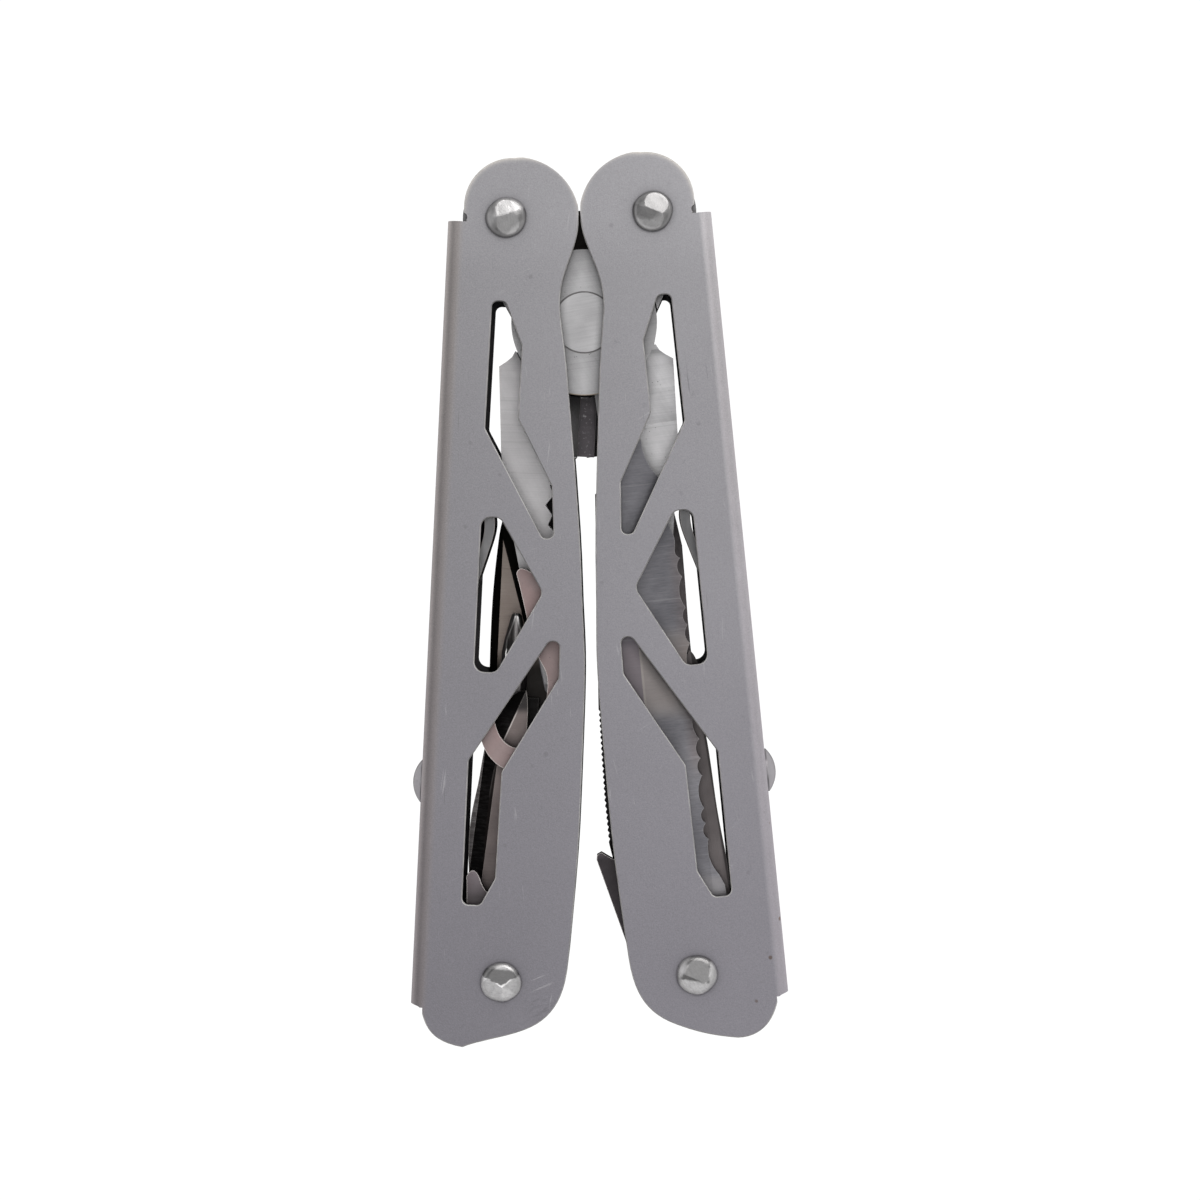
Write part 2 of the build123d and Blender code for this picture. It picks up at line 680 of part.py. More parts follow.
def build_tool(side, layer, outline, notch=None, tip_y=None, bevel=None, facets=()):
    """Flat tool. outline lists (curve class, points) in turn around the blade.
    notch is cut from the outline, tip_y thins a driver tip at that height, bevel
    grinds both faces and facets are ground on the front face."""
    hand, frame = HANDLES[side]
    back_z = LAYER[layer]
    front_z = back_z + TOOL_T
    with BuildPart() as tool:
        with BuildSketch(frame.offset(back_z)):
            with BuildLine():
                for curve, points in outline:
                    curve(*flip(points, hand))
            make_face()
            tang_disc(hand)
            if notch:
                with BuildLine():
                    Polyline(*flip(notch, hand), close=True)
                make_face(mode=Mode.SUBTRACT)
        extrude(amount=TOOL_T)
        if tip_y is not None:
            # Both faces slope in by 0.6 over the last 7 mm
            with BuildSketch(side_view(frame)):
                for face_z, facing in ((back_z, -1), (front_z, 1)):
                    outside = face_z + facing * 0.2
                    thin = face_z - facing * 0.6
                    Polygon(
                        (tip_y + 1, outside), (tip_y - 7, outside), (tip_y - 7, face_z),
                        (tip_y, thin), (tip_y + 1, thin),
                        align=None,
                    )
            extrude(amount=20, both=True, mode=Mode.SUBTRACT)
        if bevel:
            front_depth, back_depth = bevel["depths"]
            ground(frame, hand, front_z, 1, front_depth, *bevel["extent"])
            ground(frame, hand, back_z, -1, back_depth, *bevel["extent"])
        for settings in facets:
            facet(frame, hand, front_z, **settings)
        tang_hole(frame, hand)
    return tool.part


# --- Right handle, front layer: serrated knife
SCALLOP_CRESTS = [
    (0.79, -39.92), (0.75, -42.06), (0.70, -45.66), (0.67, -47.68), (0.61, -49.80),
    (0.71, -53.45), (0.76, -55.48), (0.79, -57.52), (0.64, -60.95), (0.71, -63.17),
    (0.74, -65.21), (0.87, -69.00), (0.85, -70.74), (0.72, -72.56), (-0.10, -76.79),
]
SHORT_SCALLOP = 2.53          # scallops shorter than this are shallower
SHORT_SCALLOP_DEPTH = 0.448
LONG_SCALLOP_DEPTH = 0.529


def scallops():
    """Serrated edge: short and long scallops between sharp crests."""
    arcs = []
    for upper, lower in zip(SCALLOP_CRESTS, SCALLOP_CRESTS[1:]):
        is_short = upper[1] - lower[1] < SHORT_SCALLOP
        depth = SHORT_SCALLOP_DEPTH if is_short else LONG_SCALLOP_DEPTH
        middle = ((upper[0] + lower[0]) / 2 + depth, (upper[1] + lower[1]) / 2)
        arcs.append((ThreePointArc, [upper, middle, lower]))
    return arcs


SERRATED_KNIFE = [
    (Spline, [(3.91, -25.86), (3.51, -28.39), (2.37, -30.34)]),
    (Spline, [
        (2.37, -30.34), (1.95, -33.33), (1.72, -35.86), (1.20, -37.93), (1.25, -39.41),
        SCALLOP_CRESTS[0],
    ]),
    *scallops(),
    (Polyline, [
        SCALLOP_CRESTS[-1], (-0.63, -78.05), (-0.80, -80.46), (-0.52, TOOL_PIVOT[1]),
        TOOL_PIVOT, TANG_INNER,
    ]),
    (Spline, [
        TANG_INNER, (8.51, -80.46), (9.20, -68.97), (9.31, -55.86), (9.08, -50.11),
        (8.62, -44.83), (8.05, -39.66), (7.53, -33.91), (6.61, -29.54), (3.91, -25.86),
    ]),
]
# Bevels: depth on the front and back faces, then (line_x, edge_x, top_y, end_y)
SERRATED_BEVEL = {"depths": (0.7, 0.6), "extent": (6.552, 0.805, -20, -80)}

# --- Left handle, front layer: bottle opener with beak, mouth and hook band
BOTTLE_OPENER = [
    (Spline, [
        (3.10, -40.75), (3.56, -40.17), (4.25, -40.29), (6.90, -42.76), (8.74, -46.55),
        (9.77, -52.30), (10.11, -60.92), (9.66, -70.11), (8.51, -79.31), TANG_INNER,
    ]),
    (Polyline, [*TANG_LINE_BACK, (-0.79, -79.31), (-0.92, -76.44)]),
    (Spline, [
        (-0.92, -76.44), (-0.74, -75.59), (-0.26, -75.29), (0.30, -75.69), (0.78, -76.72),
        (1.84, -77.99), (3.91, -78.16), (5.75, -75.86), (6.44, -71.26), (5.98, -66.44),
        (4.60, -64.08), (2.59, -63.26), (0.54, -61.40), (-0.41, -58.39), (-0.17, -56.32),
        (0.29, -55.86),
    ]),
    (Spline, [
        (0.29, -55.86), (0.86, -56.32), (1.40, -57.91), (2.55, -60.15), (3.97, -60.89),
        (5.63, -60.46), (6.90, -58.16), (7.29, -54.77), (7.13, -52.18), (6.21, -50.46),
        (4.60, -45.98), (3.10, -40.75),
    ]),
]

# --- Left handle, second layer: reamer awl, two ground facets on its outer side
REAMER_AWL = [
    (Spline, [
        (4.85, -54.33), (3.83, -54.60), (3.05, -55.37), (1.21, -58.26), (0.23, -61.62),
        (-0.23, -65.18), (-0.79, -68.54), (-1.02, -72.51), (-0.85, -76.02),
        (-0.55, -81.03), TANG_OUTER,
    ]),
    (Polyline, TANG_LINE),
    (Spline, [
        TANG_INNER, (6.67, -81.03), (5.86, -73.56), (5.40, -64.37), (5.13, -58.90),
        (4.99, -55.06), (4.85, -54.33),
    ]),
]
REAMER_FACETS = [
    dict(start=(5.517, -52.644), end=(2.011, -61.264), side=1, width=1.9, depth=1.35, reach=6),
    dict(start=(2.011, -61.034), end=(0.724, -76.552), side=1, width=1.6, depth=1.2, reach=6),
]

# --- Left handle, fourth layer: small screwdriver
SMALL_DRIVER_TIP = -55.40
SMALL_SCREWDRIVER = [
    (Polyline, [
        (3.45, SMALL_DRIVER_TIP), (6.21, SMALL_DRIVER_TIP), (6.32, -62.07), (6.90, -64.37),
        (7.36, -71.26), *TANG_LINE_BACK, (0.23, -80.46), (2.53, -71.26), (3.22, -64.37),
        (3.33, -62.07), (3.45, SMALL_DRIVER_TIP),
    ]),
]

# --- Left handle, back layer: clip point knife
KNIFE_BLADE = [
    (Spline, [
        (1.61, -33.10), (0.85, -35.01), (0.51, -37.63), (0.29, -40.82), (0.14, -45.09),
        (0.20, -52.07), (0.23, -61.38), (-0.16, -70.11), (-0.51, -75.29),
    ]),
    (Polyline, [
        (-0.51, -75.29), (-0.75, -76.78), (-0.69, -80.46), TANG_OUTER, TOOL_PIVOT,
        (7.70, TOOL_PIVOT[1]),
    ]),
    (Spline, [
        (7.70, TOOL_PIVOT[1]), (8.51, -80.46), (8.85, -71.26), (8.51, -62.07),
        (7.70, -50.57), (5.75, -41.38), (3.68, -36.09), (1.61, -33.10),
    ]),
]
KNIFE_BEVEL = {"depths": (0.85, 0.8), "extent": (1.1, 0.15, -32, -75.5)}
KNIFE_FACETS = [
    dict(start=(0.471, -35.0), end=(4.299, -47.586), side=-1, width=2.6, depth=1.3, reach=3),
]

# --- Right handle, second layer: narrow screwdriver with a rounded tip
NARROW_SCREWDRIVER = [
    (Spline, [
        (0.72, -50.69), (0.30, -51.26), (0.05, -55.75), (-0.25, -61.15), (-0.72, -70.34),
        (-1.24, -76.78), (-1.15, -79.54), (-0.69, -83.68), TANG_OUTER,
    ]),
    (Polyline, TANG_LINE),
    (Spline, [
        TANG_INNER, (5.98, -81.03), (4.37, -73.56), (2.99, -64.37), (1.84, -55.17),
        (1.15, -51.38), (0.72, -50.69),
    ]),
]

# --- Right handle, middle layer: can opener, its lifting hook stands out of the handle
CAN_OPENER = [
    (Spline, [
        (13.28, -73.31), (12.53, -73.85), (11.77, -74.26), (10.69, -74.02), (9.89, -72.41),
        (9.54, -68.97), (9.20, -65.52), (8.05, -62.99),
    ]),
    (Spline, [
        (8.05, -62.99), (5.98, -63.45), (4.60, -67.82), (3.45, -73.56), (0.69, -80.46),
        TANG_OUTER,
    ]),
    (Polyline, [
        TANG_OUTER, TOOL_PIVOT, (8.97, -90.80), (11.17, -85.06), (13.91, -74.08),
        (13.82, -73.56), (13.28, -73.31),
    ]),
]
CAN_OPENER_NOTCH = [
    (2.299, -92.529), (10.345, -92.529), (10.690, -86.207), (7.816, -87.874),
    (7.126, -90.345), (5.172, -91.839),
]

# --- Right handle, fourth layer: wide screwdriver
WIDE_DRIVER_TIP = -55.86
WIDE_SCREWDRIVER = [
    (Polyline, [
        (2.76, WIDE_DRIVER_TIP), (7.59, WIDE_DRIVER_TIP), (7.82, -62.07), (8.51, -66.09),
        (8.74, -73.56), *TANG_LINE_BACK, (0.69, -80.46), (1.61, -73.56), (2.30, -66.09),
        (2.53, -62.07), (2.76, WIDE_DRIVER_TIP),
    ]),
]

# --- Right handle, back layer: file with a saw cut edge
SAW_LINE = [(12.00, -56.90), (12.23, -62.91), (12.37, -67.66), (12.34, -72.64)]
SAW_PITCH = 0.68966           # fitted to a whole number of teeth in each stretch
SAW_DEPTH = 0.218
SAW_ROOT_DROP = 0.345         # from a tooth crest down to the next root


def saw_edge():
    """Zigzag along the inner edge of the file."""
    line = []
    for upper, lower in zip(SAW_LINE, SAW_LINE[1:]):
        count = round((upper[1] - lower[1]) / SAW_PITCH)
        for i in range(count):
            x = upper[0] + (lower[0] - upper[0]) * i / count
            y = upper[1] + (lower[1] - upper[1]) * i / count
            line += [(x, y), (x - SAW_DEPTH, y - SAW_ROOT_DROP)]
    return line + [SAW_LINE[-1]]


METAL_FILE = [
    (Polyline, [(1.61, -31.61), (8.62, -30.80), (9.89, -31.61), (11.14, -46.39), SAW_LINE[0]]),
    (Polyline, saw_edge()),
    (Polyline, [
        SAW_LINE[-1], (11.38, -79.31), (8.74, -84.48), *TANG_LINE_BACK, (-0.23, -82.18),
        (0.69, -79.31), (0.57, -55.17), (0.46, -50.98), (0.46, -47.43), (0.34, -42.70),
        (0.28, -38.62), (0.57, -36.32), (0.92, -34.02), (1.61, -31.61),
    ]),
]

# --- Left handle, third layer: cross point screwdriver
PHILLIPS_TANG = [
    (0.92, -79.31), (4.60, -79.31), (6.67, -82.76), *TANG_LINE_BACK, (-0.34, -82.76),
]
PHILLIPS_TIP = (3.218, -45.517)
PHILLIPS_ROOT = (2.644, -80.460)
# Shank profile: (distance from the tip, radius)
PHILLIPS_SHANK = [
    (0, 0), (0, 0.4), (0.3, 0.62), (1.15, 0.98), (2.8, 1.42), (4.6, 1.68), (34.5, 1.68),
    (35.2, 0.9), (35.2, 0),
]
PHILLIPS_FLAT_Z = 1.35        # middle plane to the flats of the shank
FLAT_CUT = 3


def build_phillips():
    """Turned shank on a flat tang, with two flats and four flutes."""
    hand, frame = HANDLES["left"]
    with BuildPart() as driver:
        with BuildSketch(frame.offset(LAYER[3])):
            with BuildLine():
                Polyline(*flip(PHILLIPS_TANG, hand), close=True)
            make_face()
            tang_disc(hand)
        extrude(amount=TOOL_T)
        tip = frame.from_local_coords((*PHILLIPS_TIP, 0))
        root = frame.from_local_coords((*PHILLIPS_ROOT, 0))
        along = (root - tip).normalized()
        with BuildSketch(Plane(origin=tip, x_dir=along, z_dir=(0, 0, 1))):
            with BuildLine():
                Polyline(*PHILLIPS_SHANK, close=True)
            make_face()
        revolve(axis=Axis(tip, along))
        # Flats of the shank, front and back
        for z in (PHILLIPS_FLAT_Z, -PHILLIPS_FLAT_Z - FLAT_CUT):
            with BuildSketch(frame.offset(z)):
                with Locations((hand * 3, -64)):
                    Rectangle(30, 80)
            extrude(amount=FLAT_CUT, mode=Mode.SUBTRACT)
        # Four flutes of the cross point
        with BuildSketch(Plane(origin=tip - along, x_dir=(0, 0, 1), z_dir=along)):
            with PolarLocations(1.45, 4):
                Circle(0.86)
        extrude(amount=7.5, mode=Mode.SUBTRACT)
        tang_hole(frame, hand)
    return driver.part


save(build_tool("left", 1, BOTTLE_OPENER), "bottle_opener")
save(build_tool("left", 2, REAMER_AWL, facets=REAMER_FACETS), "reamer_awl")
save(build_phillips(), "phillips_screwdriver")
save(build_tool("left", 4, SMALL_SCREWDRIVER, tip_y=SMALL_DRIVER_TIP), "small_screwdriver")
save(
    build_tool("left", 5, KNIFE_BLADE, bevel=KNIFE_BEVEL, facets=KNIFE_FACETS),
    "knife_blade",
)
save(build_tool("right", 1, SERRATED_KNIFE, bevel=SERRATED_BEVEL), "serrated_knife")
save(build_tool("right", 2, NARROW_SCREWDRIVER), "narrow_screwdriver")
save(build_tool("right", 3, CAN_OPENER, notch=CAN_OPENER_NOTCH), "can_opener")
save(build_tool("right", 4, WIDE_SCREWDRIVER, tip_y=WIDE_DRIVER_TIP), "wide_screwdriver")
save(build_tool("right", 5, METAL_FILE), "metal_file")
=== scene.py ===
"""A folded multi-tool lying flat, in metres.

X runs across the two handles and Y along them: the handle feet are at -Y, the plier pivot
and the main handle rivets at +Y. Z is up, towards the camera. The CAD pieces get procedural
steels, and the four main rivets are rebuilt with hammered heads.
"""
import math
import random
from functools import cached_property

import bmesh
import bpy
from mathutils import Matrix, Vector


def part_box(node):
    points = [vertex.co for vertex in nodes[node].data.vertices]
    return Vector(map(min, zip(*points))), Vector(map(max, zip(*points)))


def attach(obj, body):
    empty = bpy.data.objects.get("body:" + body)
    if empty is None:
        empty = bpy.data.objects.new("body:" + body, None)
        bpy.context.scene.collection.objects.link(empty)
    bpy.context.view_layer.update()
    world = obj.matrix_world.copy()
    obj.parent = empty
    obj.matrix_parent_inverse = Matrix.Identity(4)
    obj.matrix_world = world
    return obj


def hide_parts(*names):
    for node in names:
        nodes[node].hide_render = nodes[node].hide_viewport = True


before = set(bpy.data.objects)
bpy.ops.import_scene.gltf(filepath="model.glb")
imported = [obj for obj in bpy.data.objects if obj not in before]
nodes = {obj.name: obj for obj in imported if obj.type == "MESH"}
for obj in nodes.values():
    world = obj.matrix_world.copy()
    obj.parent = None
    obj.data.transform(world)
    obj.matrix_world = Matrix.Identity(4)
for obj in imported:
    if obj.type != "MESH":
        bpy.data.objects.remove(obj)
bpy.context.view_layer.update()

MM = 0.001
HANDLE_TILT = 4.25  # degrees each handle leans from Y
SIDE_SIGN = {"left": 1, "right": -1}  # X direction from a handle towards the other one
HEAD_RIVET = {"left": (-8.4061, 44.0994), "right": (8.406, 44.39)}  # x, y in mm
PLIER_PIVOT = (0.2125, 31.945)  # x, y in mm
NEUTRAL = 1.0  # gain of a value that passes unchanged

scene = bpy.context.scene


# ----------------------------------------------------------------------------
# Node building. Texture coordinates are millimetres in the part's own frame.
# ----------------------------------------------------------------------------
def put(tree, socket, value):
    """Link a socket to a node output, or set it to a plain value."""
    if isinstance(value, Grey):
        value = value.socket
    if isinstance(value, bpy.types.NodeSocket):
        tree.links.new(value, socket)
    else:
        socket.default_value = value


def add_node(tree, kind, inputs=None, **settings):
    node = tree.nodes.new("ShaderNode" + kind)
    for setting, value in settings.items():
        setattr(node, setting, value)
    for key, value in (inputs or {}).items():
        put(tree, node.inputs[key], value)
    return node


def math_node(tree, operation, first, second=0.0, clamp=False):
    node = add_node(tree, "Math", {0: first, 1: second}, operation=operation, use_clamp=clamp)
    return Grey(tree, node.outputs[0])


class Grey:
    """A number that comes out of a node. Arithmetic on it adds Math nodes."""

    def __init__(self, tree, socket):
        self.tree = tree
        self.socket = socket

    def __add__(self, other):
        return math_node(self.tree, "ADD", self, other)

    def __radd__(self, other):
        return math_node(self.tree, "ADD", other, self)

    def __sub__(self, other):
        return math_node(self.tree, "SUBTRACT", self, other)

    def __rsub__(self, other):
        return math_node(self.tree, "SUBTRACT", other, self)

    def __mul__(self, other):
        return math_node(self.tree, "MULTIPLY", self, other)

    def __rmul__(self, other):
        return math_node(self.tree, "MULTIPLY", other, self)

    def __truediv__(self, other):
        return math_node(self.tree, "DIVIDE", self, other)

    def __pow__(self, other):
        return math_node(self.tree, "POWER", self, other)

    def __abs__(self):
        return math_node(self.tree, "ABSOLUTE", self)

    def sqrt(self):
        return math_node(self.tree, "SQRT", self)

    def fract(self):
        return math_node(self.tree, "FRACT", self)

    def min(self, other):
        return math_node(self.tree, "MINIMUM", self, other)

    def max(self, other):
        return math_node(self.tree, "MAXIMUM", self, other)

    def ramp(self, start, end, low=0.0, high=1.0, smooth=True):
        """Go from low at start to high at end; start may be the larger one."""
        node = add_node(
            self.tree, "MapRange",
            {"Value": self, "From Min": start, "From Max": end, "To Min": low, "To Max": high},
            interpolation_type="SMOOTHSTEP" if smooth else "LINEAR", clamp=True)
        return Grey(self.tree, node.outputs[0])

    def band(self, start, end, soft):
        """1 between start and end, 0 outside."""
        return self.ramp(start - soft, start + soft) * self.ramp(end + soft, end - soft)


def length(x, y):
    return (x * x + y * y).sqrt()


def distance(x, y, centre):
    return length(x - centre[0], y - centre[1])


def swing(*terms):
    """Weighted sum around zero of (value, weight) terms, each value running 0 to 1."""
    parts = [(value - 0.5) * weight for value, weight in terms]
    return sum(parts[1:], start=parts[0])


def scaled(tone, gain):
    return tuple(v * gain for v in tone)


def rgba(color):
    return color + (1.0,) if isinstance(color, tuple) else color


class Graph:
    """One steel material around a Principled shader."""

    def __init__(self, name):
        self.material = bpy.data.materials.new(name)
        self.material.use_nodes = True
        self.tree = self.material.node_tree
        self.tree.nodes.clear()
        self.shader = self.node("BsdfPrincipled")
        self.node("OutputMaterial", {"Surface": self.shader.outputs[0]})
        place = self.node("TexCoord").outputs["Object"]
        self.position = self.tint(place, 1 / MM)

    def node(self, kind, inputs=None, **settings):
        return add_node(self.tree, kind, inputs, **settings)

    def grey(self, socket):
        return Grey(self.tree, socket)

    @cached_property
    def geometry(self):
        return self.node("NewGeometry")

    def coords(self, turn=0.0, scale=(1, 1, 1), shift=(0, 0, 0)):
        """Position turned about Z by degrees, then stretched and shifted."""
        turned = self.node("VectorRotate", {"Vector": self.position, "Angle": math.radians(turn)},
                           rotation_type="Z_AXIS")
        return self.node("Mapping", {"Vector": turned.outputs[0], "Scale": scale,
                                     "Location": shift}).outputs[0]

    def noise(self, vector, scale, detail=2.0, rough=0.5):
        node = self.node("TexNoise", {"Vector": vector, "Scale": scale, "Detail": detail,
                                      "Roughness": rough})
        return self.grey(node.outputs["Fac"])

    def voronoi(self, vector, scale):
        node = self.node("TexVoronoi", {"Vector": vector, "Scale": scale})
        return self.grey(node.outputs["Distance"])

    def mix(self, amount, first, second, mode="MIX"):
        return self.node("Mix", {0: amount, 6: rgba(first), 7: rgba(second)},
                         data_type="RGBA", blend_type=mode, clamp_factor=True).outputs[2]

    def filter(self, color, tone):
        """Color multiplied by a tone."""
        return self.mix(1.0, color, tone, "MULTIPLY")

    def tint(self, color, gain):
        """Color times a grey value."""
        return self.node("VectorMath", {0: color, "Scale": gain}, operation="SCALE").outputs[0]

    def vary(self, color, *terms):
        return self.tint(color, 1.0 + swing(*terms))

    def roughness(self, base, *terms):
        return math_node(self.tree, "ADD", base, swing(*terms), clamp=True)

    def component(self, vector, name):
        return self.grey(self.node("SeparateXYZ", {0: vector}).outputs[name])

    def axis(self, name):
        return self.component(self.position, name)

    def normal(self, name):
        """Object space normal, so that a moved piece keeps its look."""
        node = self.node("VectorTransform", {0: self.geometry.outputs["True Normal"]},
                         vector_type="NORMAL", convert_from="WORLD", convert_to="OBJECT")
        return self.component(node.outputs[0], name)

    def edge(self, radius_mm, start, end):
        """1 beside convex and concave edges, 0 on flats."""
        bevel = self.node("Bevel", {"Radius": radius_mm * MM}, samples=4)
        dot = self.node("VectorMath", {0: bevel.outputs[0], 1: self.geometry.outputs["Normal"]},
                        operation="DOT_PRODUCT")
        return (1.0 - self.grey(dot.outputs["Value"])).ramp(start=start, end=end)

    def from_rivet(self, side, x_weight, y_weight):
        """Weighted sum of the X and Y distances from a handle's head rivet."""
        rivet_x, rivet_y = HEAD_RIVET[side]
        x = (self.axis("X") - rivet_x) * x_weight
        y = (self.axis("Y") - rivet_y) * y_weight
        return x + y

    def across(self, side):
        """Mm across a handle, from its head rivet towards the other handle."""
        sign = SIDE_SIGN[side]
        angle = math.radians(-sign * HANDLE_TILT)
        return self.from_rivet(side, sign * math.cos(angle), sign * math.sin(angle))

    def along(self, side):
        """Mm along a handle from its head rivet, negative towards the foot."""
        angle = math.radians(-SIDE_SIGN[side] * HANDLE_TILT)
        return self.from_rivet(side, -math.sin(angle), math.cos(angle))

    def shadowed(self, color, reach_mm, power, floor_tone):
        """Darken hollows down to floor_tone times the color."""
        node = self.node("AmbientOcclusion", {"Distance": reach_mm * MM}, samples=6)
        openness = self.grey(node.outputs["AO"]) ** power
        return self.mix(openness, self.tint(color, floor_tone), color)

    def bump(self, height, strength, depth_mm):
        return self.node("Bump", {"Strength": strength, "Distance": depth_mm * MM,
                                  "Height": height}).outputs[0]

    def finish(self, color, rough, metallic, normal, aniso=0.0):
        values = {"Base Color": color, "Roughness": rough, "Metallic": metallic,
                  "Anisotropic": aniso, "Normal": normal}
        for name, value in values.items():
            put(self.tree, self.shader.inputs[name], value)
        return self.material


# ----------------------------------------------------------------------------
# Bead blasted handle steel
# ----------------------------------------------------------------------------
def handle_base(g):
    """Plain tone with painted light: lighter towards the head and towards +X."""
    y = g.axis("Y")
    base = g.mix(y.ramp(start=-50, end=50), (0.256, 0.246, 0.272), (0.306, 0.300, 0.314))
    base = g.tint(base, y.ramp(start=36, end=46, low=1.0, high=1.12))
    return y, g.tint(base, g.axis("X").ramp(start=-22, end=20, low=0.95, high=1.10))


def handle_marks(g, color, p):
    """Small dark marks and faint stains."""
    marks = g.voronoi(p, scale=0.30).ramp(start=0.11, end=0.045)
    marks = marks * g.noise(p, scale=0.21, detail=1.0).ramp(start=0.50, end=0.62)
    color = g.mix(marks * 0.28, color, (0.12, 0.11, 0.12))
    smudge = g.noise(p, scale=0.8, detail=5.0, rough=0.7).ramp(start=0.63, end=0.78) * 0.35
    return g.mix(smudge, color, (0.16, 0.155, 0.17))


def handle_scuffs(g, color, p, lean):
    """Light and dark hairlines, most of them down the handle. Also returns the light ones."""
    scuff = None
    # Degrees from the handle's length, scale of the lines
    for k, (turn, cell) in enumerate(((4, 0.9), (-7, 1.4), (63, 0.7))):
        lines = g.coords(turn=lean + turn, scale=(3.2 * cell, 0.16 * cell, 1.0),
                         shift=(5.3 * k, 2.1 * k, 0))
        line = g.noise(lines, scale=1.0).ramp(start=0.705, end=0.76)
        patches = g.noise(p, scale=0.09 + 0.03 * k, detail=1.0)
        line = line * patches.ramp(start=0.47, end=0.6)
        scuff = line if scuff is None else scuff.max(line)
    dark_lines = g.coords(turn=lean - 2, scale=(3.8, 0.12, 1.0), shift=(9, 4, 0))
    dark_scuff = (g.noise(dark_lines, scale=1.0).ramp(start=0.70, end=0.76)
                  * g.noise(p, scale=0.07, detail=1.0).ramp(start=0.5, end=0.62))
    color = g.mix(scuff * 0.33, color, (0.46, 0.45, 0.46))
    return g.mix(dark_scuff * 0.45, color, (0.13, 0.125, 0.135)), scuff


def left_smear(g, color):
    """A rubbed dark smear by the foot of the left handle."""
    away = distance(g.across("left"), g.along("left"), centre=(8.3, -90.5))
    streaks = g.noise(g.coords(turn=-25, scale=(0.5, 1.6, 1)), scale=1.3, detail=4.0, rough=0.7)
    smear = away.ramp(start=2.6, end=0.4) * streaks.ramp(start=0.45, end=0.68)
    return g.mix(smear * 0.55, color, (0.13, 0.125, 0.135))


def right_freckles(g, color, y):
    """Rust freckles on the outer bend of the right handle, near the foot."""
    near = y.ramp(start=-22, end=-30) * g.axis("X").ramp(start=16.0, end=19.0)
    dots = g.voronoi(g.coords(shift=(1.7, 0.4, 0)), scale=0.42).ramp(start=0.13, end=0.07)
    return g.mix((dots * near) * 0.7, color, (0.10, 0.055, 0.03))


def handle_bend(g, color, across, side):
    """Outer bend with painted light: warm with a brighter outer edge on the left handle, a
    neutral painted highlight on the right one.
    """
    if side == "left":
        warm = g.filter(color, (1.06, 1.0, 0.93))
        color = g.mix(across.ramp(start=-4.6, end=-5.6), color, warm)
        return g.tint(color, across.ramp(start=-5.9, end=-6.6, low=1.0, high=1.75))
    bright = g.filter(g.tint(color, 1.85), (1.02, 1.0, 0.98))
    return g.mix(across.ramp(start=-5.1, end=-6.0), color, bright)


def handle_edges(g, color, flat, inner, rim, wear):
    """Broken edges with a painted highlight, thin, bright and slightly warm, lit towards +Y, over
    side walls darkened as painted shade.
    """
    lit = g.normal("Y").ramp(start=-0.55, end=0.25, low=0.30, high=1.0)
    rim_highlight_color = g.mix(lit, (0.26, 0.245, 0.235), (0.98, 0.96, 0.94))
    color = g.mix(rim * wear, color, rim_highlight_color)
    # Painted highlight: a faint light line along the inner edges
    line = g.edge(radius_mm=0.10, start=0.02, end=0.2) * (inner * flat.ramp(start=0.9, end=0.97))
    color = g.mix(line * 0.22, color, (0.62, 0.60, 0.58))
    # Painted shade on the steep side walls
    wall_shade = flat.ramp(start=0.45, end=0.2) * inner
    return g.mix(wall_shade * 0.85, color, (0.045, 0.042, 0.044))


def handle_head(g, color, across, side, facing, wear):
    """The round heads catch the light along their rim."""
    along = g.along(side)
    # Two overlapping discs follow the outline of the head; depth is mm inside it
    depth = (6.45 - distance(across, along, centre=(1.82, 0.53))).max(
        5.63 - distance(across, along, centre=(0.72, 1.25)))
    glow = depth.ramp(start=0.75, end=-0.02, smooth=False) ** 2.6
    glow = glow * depth.ramp(start=-0.20, end=-0.06)
    glow = glow * along.ramp(start=-1.5, end=4.5)
    glow = glow * facing.ramp(start=0.2, end=0.5)
    worn = wear.ramp(start=0.55, end=1.0, low=0.75, high=1.0)
    return g.mix(glow * worn, color, (0.78, 0.74, 0.68))


def handle_steel(name, side):
    g = Graph(name)
    p = g.coords(shift=(0, 0, 0) if side == "left" else (37, 11, 3))
    patch = g.noise(p, scale=0.35, detail=4.0, rough=0.6)
    grain = g.noise(p, scale=5.5, rough=0.6)
    fine = g.noise(p, scale=13.0, detail=1.0)
    cloud = g.noise(p, scale=0.045, detail=3.0, rough=0.55)
    y, base = handle_base(g)
    color = g.vary(base, (cloud, 0.16), (patch, 0.13), (grain, 0.42), (fine, 0.34))
    color = handle_marks(g, color, p)
    color, scuff = handle_scuffs(g, color, p, lean=SIDE_SIGN[side] * HANDLE_TILT)
    color = left_smear(g, color) if side == "left" else right_freckles(g, color, y)
    across = g.across(side)
    color = handle_bend(g, color, across, side)
    facing = g.normal("Z")
    flat = abs(facing)
    inner = 1.0 - across.ramp(start=-5.0, end=-5.5)
    rim = flat.band(start=0.5, end=0.9, soft=0.04) * inner
    wear = g.noise(p, scale=0.55, detail=3.0).ramp(start=0.30, end=0.62, low=0.55, high=1.0)
    color = handle_edges(g, color, flat, inner, rim, wear)
    color = handle_head(g, color, across, side, facing, wear)
    # Inside of the channel: painted shade, near black
    inside = g.axis("Z").band(start=2.2, end=14.4, soft=0.05) * inner
    color = g.mix(inside * 0.9, color, (0.03, 0.028, 0.03))
    color = g.shadowed(color, reach_mm=2.5, power=1.3, floor_tone=0.25)
    rough = g.roughness(0.50, (grain, 0.14), (patch, 0.12)) - scuff * 0.12 - rim * 0.12
    height = grain * 0.6 + fine * 0.4 - scuff * 0.25
    return g.finish(color, rough, metallic=0.62,
                    normal=g.bump(height, strength=0.38, depth_mm=0.05))


